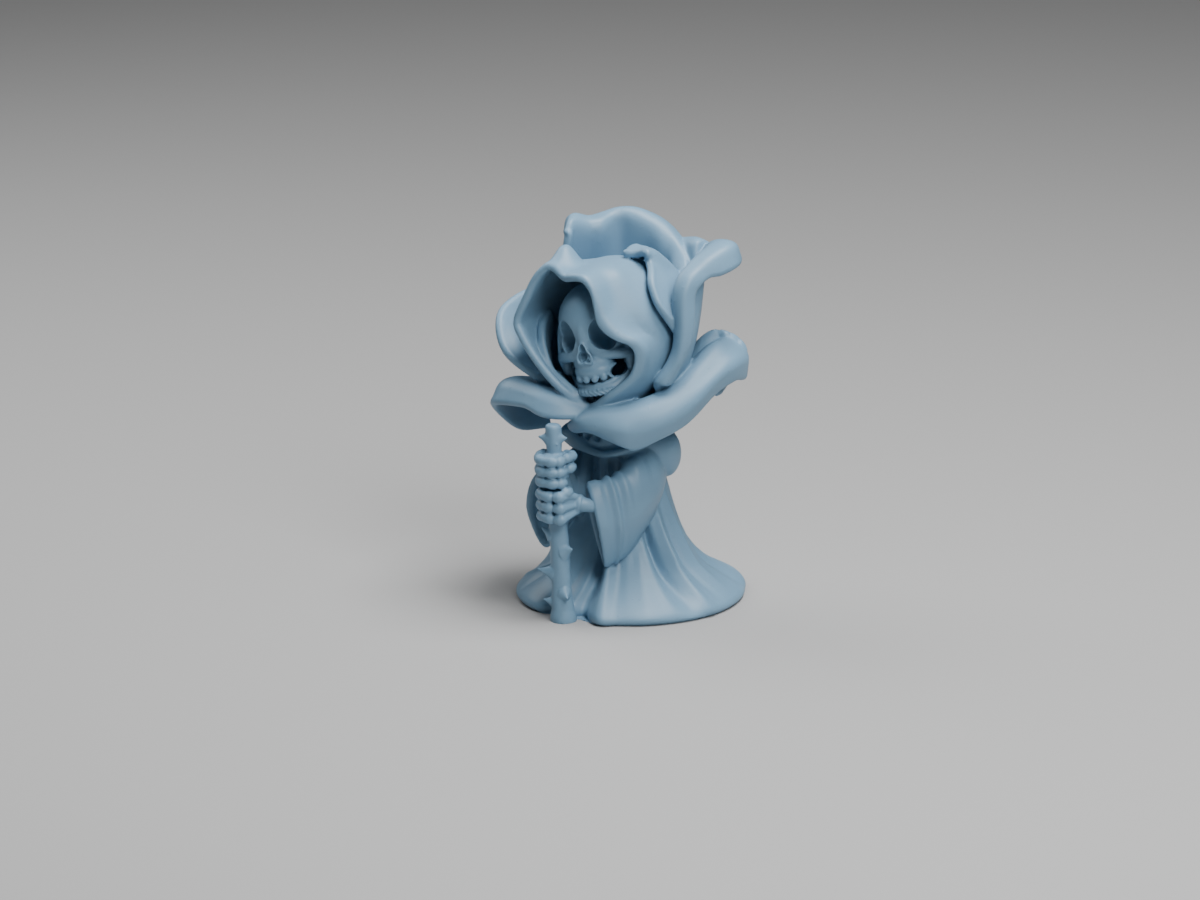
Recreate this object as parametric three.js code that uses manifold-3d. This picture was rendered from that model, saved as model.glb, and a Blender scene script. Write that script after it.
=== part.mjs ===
// Grim reaper figurine, 3D-printed in one piece: a hooded skeleton whose hood is a rose, in a
// wide-sleeved robe with a train, holding a thorny rose stem upright before it with both hands.
// Millimetres. +Z is up, the figure faces -Y, and the origin is on the floor under the body's axis.
import * as THREE from "three";
import { mergeVertices } from "three/addons/utils/BufferGeometryUtils.js";
import Module from "manifold-3d";

const wasm = await Module();
wasm.setup();

// Driving dimensions
const roseAxisY = -4; // the rose stands a little forward of the body's axis
const petalThickness = 1.9;
const calyx = { height: 48.5, radius: 9.6, halfHeight: 6 }; // where the petals spring from
const sleeveWall = 1.5;
const sleeveSides = 12;
const sleeveNarrowing = 0.4; // share of its width that the hanging side loses
const fingerRadius = 1.25;
const layoutReach = 80; // wider than anything, for cutting the underside flat
const foldFalloff = 1.4; // how fast a fold fades at its half width
const weld = 1e-4; // points closer than this are one
const nudge = 1e-3; // step in a surface's own measures for finding its slope

// Small vector helpers on [x, y, z]
const add = (a, b) => a.map((value, i) => value + b[i]);
const sub = (a, b) => a.map((value, i) => value - b[i]);
const scale = (a, k) => a.map((value) => value * k);
const mix = (a, b, t) => a.map((value, i) => value + (b[i] - value) * t);
const dot = (a, b) => a.reduce((sum, value, i) => sum + value * b[i], 0);
const unit = (a) => scale(a, 1 / (Math.hypot(...a) || 1));
const cross = (a, b) => [a[1] * b[2] - a[2] * b[1], a[2] * b[0] - a[0] * b[2], a[0] * b[1] - a[1] * b[0]];
const radians = (degrees) => (degrees * Math.PI) / 180;
const smooth = (t) => {
  const c = Math.min(1, Math.max(0, t));
  return c * c * (3 - 2 * c);
};

// A Catmull-Rom curve through rows of numbers of any width, at t from 0 to 1.
function along(rows, t, closed = false) {
  const count = rows.length;
  const spans = closed ? count : count - 1;
  const place = Math.min(Math.max(t, 0), 1) * spans;
  const first = Math.min(Math.floor(place), spans - 1);
  const w = place - first;
  const pick = (i) => {
    if (closed) return rows[((i % count) + count) % count];
    if (i < 0) return rows[0].map((value, k) => 2 * value - rows[1][k]);
    if (i >= count) return rows[count - 1].map((value, k) => 2 * value - rows[count - 2][k]);
    return rows[i];
  };
  const [a, b, c, d] = [pick(first - 1), pick(first), pick(first + 1), pick(first + 2)];
  return b.map((value, k) => {
    const start = (c[k] - a[k]) / 2;
    const end = (d[k] - value) / 2;
    const gap = value - c[k];
    return value + w * (start + w * (-3 * gap - 2 * start - end + w * (2 * gap + start + end)));
  });
}

// A point from its bearing in degrees (0 is the front, 90 the figure's left), distance and height.
function around(bearing, out, up, centreX = 0, centreY = 0) {
  return [centreX + out * Math.sin(radians(bearing)), centreY - out * Math.cos(radians(bearing)), up];
}

// Closed meshes become solids that can be joined and cut.
function solid(points, faces) {
  const geometry = new THREE.BufferGeometry();
  geometry.setAttribute("position", new THREE.Float32BufferAttribute(points.flat(), 3));
  geometry.setIndex(faces.flat());
  const merged = mergeVertices(geometry, weld);
  const index = Array.from(merged.index.array);
  const kept = [];
  for (let i = 0; i < index.length; i += 3) {
    const [a, b, c] = index.slice(i, i + 3);
    if (a !== b && b !== c && a !== c) kept.push(a, b, c);
  }
  const made = new wasm.Manifold(
    new wasm.Mesh({
      numProp: 3,
      vertProperties: merged.attributes.position.array,
      triVerts: new Uint32Array(kept),
    }),
  );
  if (made.volume() >= 0) return made;
  const turned = faces.map(([a, b, c]) => [a, c, b]);
  return solid(points, turned);
}

function blob(centre, radii, wide = 12, high = 8, turnZ = 0) {
  const sphere = new THREE.SphereGeometry(1, wide, high);
  sphere.scale(...radii);
  sphere.rotateZ(radians(turnZ));
  sphere.translate(...centre);
  return fromGeometry(sphere);
}

function fromGeometry(geometry) {
  geometry.deleteAttribute("normal");
  geometry.deleteAttribute("uv");
  const merged = mergeVertices(geometry, weld);
  const position = merged.attributes.position.array;
  const points = [];
  for (let i = 0; i < position.length; i += 3) points.push(Array.from(position.slice(i, i + 3)));
  const faces = [];
  const index = Array.from(merged.index.array);
  for (let i = 0; i < index.length; i += 3) faces.push(index.slice(i, i + 3));
  return solid(points, faces);
}

// A closed body lofted through rings of equal count, with its two ends closed by a fan.
function loft(rings) {
  const count = rings[0].length;
  const points = rings.flat();
  const faces = [];
  for (let i = 0; i + 1 < rings.length; i++) {
    for (let j = 0; j < count; j++) {
      const k = (j + 1) % count;
      const [a, b] = [i * count + j, i * count + k];
      const [c, d] = [a + count, b + count];
      faces.push([a, b, d], [a, d, c]);
    }
  }
  [0, rings.length - 1].forEach((row) => {
    points.push(scale(rings[row].reduce(add), 1 / count));
    const middle = points.length - 1;
    for (let j = 0; j < count; j++) {
      const [a, b] = [row * count + j, row * count + ((j + 1) % count)];
      faces.push(row ? [a, b, middle] : [b, a, middle]);
    }
  });
  return solid(points, faces);
}

// A round limb along a curved path, its radius following the list of radii, with rounded ends.
const limbEnd = { grow: 0.6, push: 0.7 }; // the end rings draw in to round the tips
function limb(path, radii, sides = 7, steps = 8) {
  const rings = [];
  const widths = radii.map((radius) => [radius]);
  const stations = [{ t: 0, grow: limbEnd.grow, push: -limbEnd.push }];
  for (let i = 0; i <= steps; i++) stations.push({ t: i / steps, grow: 1, push: 0 });
  stations.push({ t: 1, grow: limbEnd.grow, push: limbEnd.push });
  const eps = 0.01;
  let side = null;
  stations.forEach(({ t, grow, push }) => {
    const ahead = unit(sub(along(path, Math.min(1, t + eps)), along(path, Math.max(0, t - eps))));
    if (!side) side = Math.abs(ahead[2]) > 0.8 ? [1, 0, 0] : [0, 0, 1];
    side = unit(sub(side, scale(ahead, dot(side, ahead))));
    const other = cross(ahead, side);
    const radius = along(widths, t)[0];
    const centre = add(along(path, t), scale(ahead, push * radius));
    const ring = [];
    for (let j = 0; j < sides; j++) {
      const angle = (2 * Math.PI * j) / sides;
      const direction = add(scale(side, Math.cos(angle)), scale(other, Math.sin(angle)));
      ring.push(add(centre, scale(direction, radius * grow)));
    }
    rings.push(ring);
  });
  return loft(rings);
}

// A sheet of even thickness over surface(s, t), s across and t from root to lip, with a rounded edge.
function sheet(surface, across, up, thickness) {
  const offset = (s, t, side) => {
    const ds = sub(surface(Math.min(1, s + nudge), t), surface(Math.max(0, s - nudge), t));
    const dt = sub(surface(s, Math.min(1, t + nudge)), surface(s, Math.max(0, t - nudge)));
    const normal = unit(cross(ds, dt));
    return add(surface(s, t), scale(normal, (side * thickness) / 2));
  };
  const points = [];
  const grid = [1, -1].map((side) => {
    const rows = [];
    for (let i = 0; i <= up; i++) {
      const row = [];
      for (let j = 0; j <= across; j++) {
        row.push(points.length);
        points.push(offset(j / across, i / up, side));
      }
      rows.push(row);
    }
    return rows;
  });
  const faces = [];
  const [front, back] = grid;
  for (let i = 0; i < up; i++) {
    for (let j = 0; j < across; j++) {
      const [a, b, c, d] = [front[i][j], front[i][j + 1], front[i + 1][j + 1], front[i + 1][j]];
      const [e, f, g, h] = [back[i][j], back[i][j + 1], back[i + 1][j + 1], back[i + 1][j]];
      faces.push([a, b, c], [a, c, d], [e, g, f], [e, h, g]);
    }
  }
  const border = [];
  for (let j = 0; j < across; j++) border.push([0, j]);
  for (let i = 0; i < up; i++) border.push([i, across]);
  for (let j = across; j > 0; j--) border.push([up, j]);
  for (let i = up; i > 0; i--) border.push([i, 0]);
  const outward = ([i, j]) => {
    const here = surface(j / across, i / up);
    const inside = surface(
      Math.min(1 - 1 / across, Math.max(1 / across, j / across)),
      Math.min(1 - 1 / up, Math.max(1 / up, i / up)),
    );
    return add(here, scale(unit(sub(here, inside)), thickness / 2));
  };
  const rim = border.map((place) => points.push(outward(place)) - 1);
  border.forEach(([i, j], n) => {
    const m = (n + 1) % border.length;
    const [k, l] = border[m];
    faces.push([front[i][j], rim[m], front[k][l]], [front[i][j], rim[n], rim[m]]);
    faces.push([rim[n], back[i][j], back[k][l]], [rim[n], back[k][l], rim[m]]);
  });
  return solid(points, faces);
}

// The robe: a bell whose hem spreads over the floor, with folds whose depth changes with height.
const robe = {
  centre: [0, 2],
  columns: 32,
  // height, radius of the plain bell
  profile: [
    [0, 26.8], [0.9, 27.8], [2.4, 27.3], [4.4, 25], [7.2, 21.2], [10.5, 17.6],
    [14.5, 15.2], [19.5, 12.9], [25.5, 10.8], [32, 9], [38, 8.2], [43, 6.4],
  ],
  // bearing at the floor, half width, swing in degrees for each mm of height, then height and reach
  folds: [
    { at: 2, wide: 9, swing: 0, reach: [[0, -5.4], [10, -4.2], [22, -2.5], [34, 0]] },
    { at: -15, wide: 8, swing: 0, reach: [[0, -3.6], [8, -2.2], [16, 0]] },
    { at: 18, wide: 6, swing: -0.35, reach: [[0, 1.2], [8, 2.6], [16, 2.4], [28, 0]] },
    { at: 40, wide: 12, swing: 0, reach: [[0, 0.2], [8, 1.2], [18, 0.6], [26, 0]] },
    { at: 70, wide: 8, swing: 0, reach: [[0, 0], [6, -1.9], [14, -2.9], [26, -1.3], [34, 0]] },
    { at: 90, wide: 8, swing: 0, reach: [[0, 0.6], [8, 1.9], [16, 1.4], [30, 0]] },
    { at: 172, wide: 46, swing: 0, reach: [[0, 6], [3, 5], [8, 1.5], [14, 0]] },
    { at: 128, wide: 8, swing: 0, reach: [[0, 0], [5, -1.2], [14, -1.2], [28, 0]] },
    { at: 205, wide: 9, swing: 0, reach: [[0, 0], [6, -1.4], [16, -1.2], [28, 0]] },
    { at: -36, wide: 11, swing: 0, reach: [[0, 0], [6, 0.8], [14, 3.4], [24, 2], [32, 0]] },
    { at: -66, wide: 22, swing: 0, reach: [[0, 0.4], [6, 1.2], [14, 4], [24, 3.6], [40, 0]] },
    { at: -100, wide: 9, swing: 0, reach: [[0, 0], [6, -1.2], [16, -1], [28, 0]] },
    { at: 4, wide: 46, swing: 0, reach: [[28, 0], [34, 2], [39, 3.4], [43, 3.4]] }, // the chest
  ],
};

// Signed degrees from b to a, between -180 and 180.
const turnBetween = (a, b) => ((a - b + 900) % 360) - 180;

function robeRadius(bearing, height, plain) {
  let radius = plain;
  robe.folds.forEach(({ at, wide, swing, reach }) => {
    const apart = turnBetween(bearing, at + swing * height);
    const near = Math.exp(-foldFalloff * (apart / wide) ** 2);
    const last = reach.length - 1;
    if (height < reach[0][0] || height > reach[last][0]) return;
    const step = Math.max(1, reach.findIndex(([up]) => up >= height));
    const [low, high] = [reach[step - 1], reach[step]];
    radius += near * (low[1] + ((high[1] - low[1]) * (height - low[0])) / (high[0] - low[0]));
  });
  return radius;
}

function makeRobe() {
  const rings = robe.profile.map(([height, plain]) => {
    const ring = [];
    for (let j = 0; j < robe.columns; j++) {
      const bearing = (360 * j) / robe.columns;
      ring.push(around(bearing, robeRadius(bearing, height, plain), height, ...robe.centre));
    }
    return ring;
  });
  return loft(rings);
}

// Petals: each is a net whose ribs run from the foot in the calyx to the lip. Each point of a rib
// gives its bearing, how far out it lies from the rose's axis, and its height.
const petals = {
  lowerRight: {
    grid: [11, 6],
    ribs: [
      [[-12, 6, 47.5], [-12, 8, 50.5], [-11.8, 15, 48.9],
        [-9.8, 16.8, 48.8], [-8.6, 15.6, 47.7], [-8.3, 13.3, 47.5]],
      [[-4, 6, 47.5], [-4, 9.5, 51], [2.2, 15.3, 52.1],
        [4.3, 18.4, 51.1], [7.5, 18.7, 49.3], [9.5, 16.6, 48.6]],
      [[10, 6, 47.5], [10, 10.5, 51.5], [18, 14.8, 53.6],
        [19.5, 18.8, 52.7], [21.9, 20.2, 50], [23.7, 18.8, 47.8]],
      [[26, 6, 47.5], [26, 11, 52], [35.5, 14.9, 54.3],
        [35.4, 19.4, 53.2], [35.7, 21.4, 49.8], [36.6, 20.2, 46.2]],
      [[42, 6, 47.5], [42, 11, 52], [50, 15.8, 55.1],
        [47.4, 20.2, 54], [45.7, 21.6, 49.5], [44.9, 19.8, 45.2]],
      [[58, 6, 47.5], [58, 11.5, 52.5], [64.9, 17.3, 56.6],
        [61.9, 21.3, 55.2], [60.5, 22.8, 51.3], [60.6, 20.9, 47.5]],
      [[74, 6, 47.5], [74, 12.5, 53], [79.9, 19.4, 58.8],
        [78.9, 23.1, 57.2], [79.5, 24.3, 54.5], [80.8, 22.5, 50.7]],
      [[90, 6, 47.5], [90, 14, 55], [96.8, 21.1, 62.7],
        [95.8, 24.9, 60.9], [97.5, 26.5, 59.8], [100.1, 25.4, 56.5]],
      [[104, 6, 47.5], [104, 15, 57], [114.5, 23.1, 66.2],
        [111.5, 27.3, 64.6], [112, 29.8, 62.6], [113, 29.2, 59]],
      [[118, 6, 47.5], [118, 15.5, 58], [131, 25.7, 65.8],
        [128.9, 29.3, 65.5], [127.4, 32, 62.5], [126.3, 31.4, 57.9]],
      [[130, 6, 47.5], [130, 15.5, 57], [136, 23, 66.8],
        [132, 27.6, 67.4], [130, 30.4, 65.4], [129, 29.3, 61.7]],
      [[144, 6, 47.5], [144, 14, 55], [148, 18.6, 60.2],
        [148, 22.6, 61.8], [147, 25.2, 61.4], [146, 25.3, 59.3]],
    ],
  },
  lowerLeft: {
    grid: [8, 5],
    ribs: [
      [[10, 6, 47.5], [10, 7.4, 50.6], [10, 8.9, 51.5], [10, 10.9, 51.3], [10, 11.9, 51.5]],
      [[-18, 6, 47.5], [-18, 11.3, 53], [-18, 16.7, 55.3], [-18, 20.2, 54.6], [-18, 21.7, 51.9]],
      [[-38, 6, 47.5], [-38, 12.7, 53.8], [-38, 20, 56.6], [-38, 23.2, 55.9], [-38, 24.5, 53.3]],
      [[-60, 6, 47.5], [-60, 14.4, 53.9], [-60, 23, 56.8], [-60, 28.2, 55.7], [-60, 30.4, 51.1]],
      [[-80, 6, 47.5], [-80, 13.8, 52.7], [-80, 22, 54.8], [-80, 27.6, 52.3], [-80, 26.7, 43]],
      [[-98, 6, 47.5], [-98, 12.1, 50.3], [-98, 19, 51], [-98, 23.5, 48.7], [-98, 22.7, 41.9]],
    ],
  },
  leftMiddle: {
    grid: [7, 4],
    ribs: [
      [[-44, 7, 48.5], [-44, 11.4, 52.2], [-44, 15.5, 56.3], [-44, 17.6, 57.9], [-44, 19.8, 58.9]],
      [[-60, 7, 48.5], [-60, 14.2, 54], [-60, 20, 60], [-60, 23.2, 62.6], [-60, 27.5, 64.3]],
      [[-74, 7, 48.5], [-74, 16.4, 56.3], [-74, 23.5, 65], [-74, 26.4, 68.1], [-74, 30.2, 70.9]],
      [[-90, 7, 48.5], [-90, 16.4, 57.3], [-90, 23.5, 67], [-90, 26, 70.6], [-90, 29, 74.3]],
      [[-108, 7, 48.5], [-108, 15.5, 57.3], [-108, 22, 67], [-108, 24.5, 70.7], [-108, 27.5, 74.7]],
      [[-126, 7, 48.5], [-126, 13.6, 55.4], [-126, 19, 63], [-126, 21, 66], [-126, 23, 69.3]],
    ],
  },
  backLeft: {
    grid: [5, 4],
    ribs: [
      [[-98, 6, 47.5], [-98, 11, 50.8], [-98, 17, 53], [-98, 20.9, 53.5], [-98, 25, 53]],
      [[-122, 6, 47.5], [-122, 13.8, 53.2], [-122, 22, 57], [-122, 26, 57.1], [-122, 30, 54.5]],
      [[-150, 6, 47.5], [-150, 14.4, 53.8], [-150, 23, 58], [-150, 27.5, 57.2], [-150, 31, 51]],
      [[-176, 6, 47.5], [-176, 12.7, 52.6], [-176, 20, 56], [-176, 24.1, 55], [-176, 27, 49]],
    ],
  },
  backRight: {
    grid: [5, 4],
    ribs: [
      [[122, 6, 47.5], [122, 11.6, 52], [122, 18, 55], [122, 21.4, 55.3], [122, 25, 54]],
      [[146, 6, 47.5], [146, 13.8, 55], [146, 22, 60], [146, 25.9, 60.1], [146, 30, 57]],
      [[172, 6, 47.5], [172, 14.1, 55.6], [172, 22.5, 61], [172, 26.8, 60.6], [172, 30.5, 55]],
      [[200, 6, 47.5], [200, 12.1, 53.2], [200, 19, 57], [200, 22.8, 56.5], [200, 26, 52]],
    ],
  },
  innerLeft: {
    grid: [5, 3],
    ribs: [
      [[-6, 8, 50.5], [-6, 11.8, 52.2], [-6, 13, 54.5], [-6, 13.4, 55.2], [-6, 14.8, 56]],
      [[-22, 8, 50.5], [-22, 13, 53], [-22, 14.6, 56.5], [-22, 15.1, 57.7], [-22, 16.6, 59.2]],
      [[-36, 8, 50.5], [-36, 14, 53.9], [-36, 16, 58.5], [-36, 16.5, 59.9], [-36, 17.9, 61.8]],
      [[-45, 8, 50.5], [-45, 15, 55.4], [-45, 17.4, 62], [-45, 17.8, 63.8], [-45, 18.8, 66.4]],
      [[-56, 8, 50.5], [-56, 15, 56.7], [-56, 17.4, 65], [-56, 17.7, 67.3], [-56, 18.6, 70.6]],
      [[-74, 8, 50.5], [-74, 14.6, 57.1], [-74, 16.8, 66], [-74, 17, 68.8], [-74, 17.6, 73]],
    ],
  },
  topBack: {
    grid: [9, 5],
    ribs: [
      [[268.9, 7, 50], [268.9, 15.2, 60], [268.9, 17.4, 73],
        [273.8, 13.8, 91], [268.9, 14.6, 92.7], [264.5, 15.2, 92.6]],
      [[255.4, 7, 50], [255.4, 15.2, 60], [255.4, 17.4, 73],
        [265.2, 14.2, 92.3], [255.4, 15.8, 95.7], [251.5, 17.8, 94.9]],
      [[237.4, 7, 50], [237.4, 15.2, 60], [237.4, 17.4, 73],
        [243.8, 13.5, 91.5], [237.4, 16, 94.6], [233.2, 20.4, 93]],
      [[223.9, 7, 50], [223.9, 15.2, 60], [223.9, 17.4, 73],
        [228.2, 13, 91.5], [223.9, 16.4, 95.1], [222, 20.8, 93.7]],
      [[210.7, 7, 50], [210.7, 15.2, 60], [210.7, 17.4, 73],
        [211.4, 16.4, 90.7], [210.7, 17, 96], [211, 22, 94.6]],
      [[197.6, 7, 50], [197.6, 15.2, 60], [197.6, 17.4, 73],
        [195.4, 15.9, 90.8], [197.6, 17.6, 96], [198.9, 22.6, 94.6]],
      [[185.1, 7, 50], [185.1, 15.2, 60], [185.1, 17.4, 73],
        [182.3, 15.9, 89.8], [185.1, 17.9, 94.7], [186.8, 22.6, 93.4]],
      [[172.3, 7, 50], [172.3, 15.2, 60], [172.3, 17.4, 73],
        [169.4, 15.9, 87.8], [172.3, 18.2, 92.7], [175.4, 22.4, 91.2]],
      [[159.2, 7, 50], [159.2, 15.2, 60], [159.2, 17.4, 73],
        [158, 16.4, 84.6], [159.2, 18.2, 89.5], [163, 21.4, 88.4]],
      [[146.3, 7, 50], [146.3, 15.2, 60], [146.3, 17.4, 73],
        [146.7, 15.5, 82.2], [146.3, 18.2, 86.5], [150.9, 20.7, 85.1]],
      [[134.1, 7, 50], [134.1, 15.2, 60], [134.1, 17.4, 73],
        [138.8, 15.5, 79.9], [134.1, 16.7, 83.4], [137.6, 18.6, 83.3]],
    ],
  },
  right: {
    grid: [11, 5],
    ribs: [
      [[72, 7, 49.4], [72, 12, 53], [74, 15.5, 56.5],
        [66.3, 17.5, 59.7], [66.6, 20, 60.7], [72.3, 20.3, 60.7]],
      [[80, 7, 49.4], [80, 13.5, 54], [80, 18.5, 61],
        [76.1, 19.8, 67.1], [74.3, 22.5, 66.9], [79.6, 22.5, 68.1]],
      [[88, 7, 49.4], [88, 15, 56], [86, 20.6, 67],
        [78.9, 20.2, 73.4], [77.1, 22.9, 74.1], [83, 23.2, 73.9]],
      [[94, 7, 49.4], [94, 16.5, 58], [92, 21.4, 72],
        [80.3, 19.2, 80.7], [78.7, 22.2, 81.6], [85.3, 22.8, 81.7]],
      [[99, 7, 49.4], [99, 17, 60], [97, 21.6, 77],
        [85.9, 19.2, 85.2], [83.5, 22.2, 85.6], [89.3, 23.3, 84.5]],
      [[104, 7, 49.4], [104, 17.5, 62], [102, 21.6, 80.5],
        [96.6, 19.8, 87.8], [93.3, 22.9, 88], [96.6, 24.5, 86.3]],
      [[109, 7, 49.4], [109, 17.6, 63], [107, 21.4, 83],
        [108.2, 21, 89.7], [103.3, 24.9, 90.3], [103.5, 26.8, 86.8]],
      [[114, 7, 49.4], [114, 17.6, 64], [113, 21, 84.5],
        [120.8, 23.1, 91.1], [115.9, 28.3, 92], [113.2, 29.5, 87.8]],
      [[120, 7, 49.4], [120, 17.6, 64], [120, 20.6, 84],
        [133, 23.6, 90.3], [130.1, 28.4, 90.2], [127.8, 29.8, 87.6]],
      [[128, 7, 49.4], [128, 17.6, 64], [129, 20, 83],
        [146.8, 23.8, 88], [147.8, 27.6, 87.5], [146.5, 29, 85.4]],
      [[142, 7, 49.4], [142, 17.6, 64], [141, 19.6, 81],
        [143, 20.8, 89], [146, 22.8, 90], [147, 25, 88.6]],
      [[156, 7, 49.4], [156, 17.4, 63], [156, 19.2, 80],
        [158, 20.2, 87.4], [158, 22.6, 89.6], [158, 25, 88.4]],
      [[172, 7, 49.4], [172, 17, 62], [172, 18.6, 78],
        [174, 19.8, 85], [174, 22.2, 87.6], [174, 24.6, 86.2]],
      [[188, 7, 49.4], [188, 16.4, 60], [188, 18, 76],
        [188, 19.2, 81.6], [188, 21.2, 84], [188, 23.2, 82.6]],
    ],
  },
  innerRight: {
    grid: [6, 3],
    ribs: [
      [[96.5, 18.7, 70.3], [87.7, 19.1, 71.5], [80.7, 19.5, 73], [77.8, 19.8, 73.9]],
      [[101.1, 18.1, 75.1], [86.7, 18.3, 75.7], [76.3, 18.6, 76.4], [70.6, 18.7, 77.5]],
      [[110.3, 16.7, 78.9], [88.2, 17.1, 79.1], [74.2, 17.2, 79.4], [66.8, 17.1, 80.7]],
      [[131.1, 16.1, 81], [96.1, 15.2, 82.3], [77.6, 14.8, 83.4], [69.4, 13.9, 85]],
      [[134.7, 14.7, 83.9], [112.1, 12.8, 85], [93.2, 11.1, 86.9], [88.7, 9.4, 88.3]],
      [[126.8, 11.9, 87.1], [116.5, 10.5, 88.7], [102.3, 9.2, 90.3], [89.3, 8.7, 90.7]],
      [[146.3, 9.7, 88.1], [137.2, 7.7, 89.8], [122, 6, 89.8], [98.6, 5.2, 89.8]],
      [[165.3, 8.8, 87.3], [161.4, 6.3, 89.8], [146, 3.7, 89.8], [89.7, 2.8, 89.8]],
    ],
  },
};

function petalPoint(ribs, s, t) {
  const rib = along(ribs, s);
  const points = [];
  for (let i = 0; i < rib.length; i += 3) points.push(rib.slice(i, i + 3));
  return around(...along(points, t), 0, roseAxisY);
}

function makePetal({ grid, ribs }) {
  const flatRibs = ribs.map((points) => points.flat());
  return sheet((s, t) => petalPoint(flatRibs, s, t), ...grid, petalThickness);
}

// The hood: a bulb round the skull, open at the front, whose rim is drawn out and waved.
const hood = {
  centre: [0, roseAxisY, 70],
  radii: [16.4, 16.2, 17.6],
  opening: -4, // bearing that the opening faces
  grid: [27, 5],
  last: 0.985, // the sheet closes on a small disc behind the skull
  // bearing, out and up of the rim, and how soon the wall behind it falls back to the bulb, from
  // the chin up the figure's right side, over and back down
  rim: [
    [0, 14.2, 53.5, 1.6], [-18, 18.4, 58.5, 1.6], [-34, 21.6, 64.5, 1.6], [-44, 24.2, 70, 1.6],
    [-48, 24.9, 73.4, 1.6], [-45, 23, 79, 1.7], [-41, 20.8, 84.5, 2], [-35, 18.6, 87.6, 2.2],
    [-29, 17.6, 87.6, 2.4], [-22, 17.3, 86.8, 2.6], [-13, 17.6, 86.2, 2.6], [-5, 17.9, 86.8, 2.4],
    [5, 18, 86.8, 2.2], [12, 18, 84.4, 2], [15, 18.1, 81, 1.8], [18, 18.2, 77, 1.8],
    [24, 18.5, 74.4, 1.8], [32, 18.8, 72.6, 1.8], [41, 18.8, 71.4, 1.8], [46.5, 18.6, 69.2, 1.8],
    [47.5, 18.3, 66.2, 1.8], [44.5, 17.9, 62.9, 1.8], [37, 17.2, 60.2, 1.8], [26, 16.4, 57.4, 1.6],
    [13, 14.8, 54.4, 1.6],
  ],
  // the fold that stands up as a peak behind the rim: the rim row it stands behind, its half width
  // in rows, how far back from the rim, its half width that way, and its push
  peak: { row: 8.1, rowsWide: 1.7, back: 0.1, backWide: 0.08, push: [-1.3, 0.8, 4.4] },
};

function hoodPoint(u, v) {
  const [bearing, out, up, grip] = along(hood.rim, u, true);
  const rim = around(bearing, out, up, 0, roseAxisY);
  const forward = around(hood.opening, 1, 0);
  const lateral = [-forward[1], forward[0], 0];
  const away = sub(rim, hood.centre).map((value, i) => value / hood.radii[i]);
  const ahead = dot(away, forward);
  const sideways = dot(away, lateral);
  const spin = Math.atan2(away[2], sideways);
  const start = Math.atan2(Math.hypot(sideways, away[2]), ahead);
  const ball = (polar) => {
    const wide = Math.sin(polar);
    const point = add(scale(forward, Math.cos(polar)), scale(lateral, wide * Math.cos(spin)));
    point[2] += wide * Math.sin(spin);
    return point.map((value, i) => hood.centre[i] + value * hood.radii[i]);
  };
  const bulb = ball(start + (Math.PI - start) * v);
  const drawn = add(bulb, scale(sub(rim, ball(start)), Math.max(0, 1 - grip * v) ** 2.2));
  const { row, rowsWide, back, backWide, push } = hood.peak;
  const rows = Math.abs(u * hood.rim.length - row) / rowsWide;
  const behind = (v - back) / backWide;
  return add(drawn, scale(push, Math.exp(-foldFalloff * (rows ** 2 + behind ** 2))));
}

function makeHood() {
  const [roundCount, rows] = hood.grid;
  const places = Array.from({ length: roundCount }, (_, j) => j / roundCount);
  // rings lie closer together near the rim, where the wall turns most
  const depths = Array.from({ length: rows + 1 }, (_, i) => hood.last * (i / rows) ** 1.5);
  const shell = (u, v, side) => {
    const du = sub(hoodPoint((u + nudge) % 1, v), hoodPoint((u - nudge + 1) % 1, v));
    const dv = sub(hoodPoint(u, Math.min(1, v + nudge)), hoodPoint(u, Math.max(0, v - nudge)));
    return add(hoodPoint(u, v), scale(unit(cross(du, dv)), (side * petalThickness) / 2));
  };
  const lip = places.map((u) => {
    const here = hoodPoint(u, 0);
    return add(here, scale(unit(sub(here, hoodPoint(u, 0.06))), petalThickness / 2));
  });
  const outer = depths.map((v) => places.map((u) => shell(u, v, 1)));
  const inner = depths.map((v) => places.map((u) => shell(u, v, -1)));
  return loft([...outer.reverse(), lip, ...inner]);
}

// The skull, in its own frame with the face towards -Y, then nodded, turned and set in the hood
const skull = {
  centre: [-0.4, -11.6, 72.5],
  yaw: 9,
  nod: 12,
  roll: -5,
  socket: { centre: [5.1, -7.8, 0.3], radii: [3.1, 5.4, 3.5], turn: 28 },
  teeth: { count: 7, pitch: 25, shift: 2, arc: 5.1, middleY: -5.2, height: -9, size: [1.2, 1, 1.4] },
};

function placeSkull(part) {
  const roll = new THREE.Matrix4().makeRotationY(radians(skull.roll));
  const nod = new THREE.Matrix4().makeRotationX(radians(skull.nod));
  const yaw = new THREE.Matrix4().makeRotationZ(radians(skull.yaw));
  const place = new THREE.Matrix4().makeTranslation(...skull.centre);
  return part.transform(Array.from(place.multiply(yaw).multiply(nod).multiply(roll).elements));
}

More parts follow.
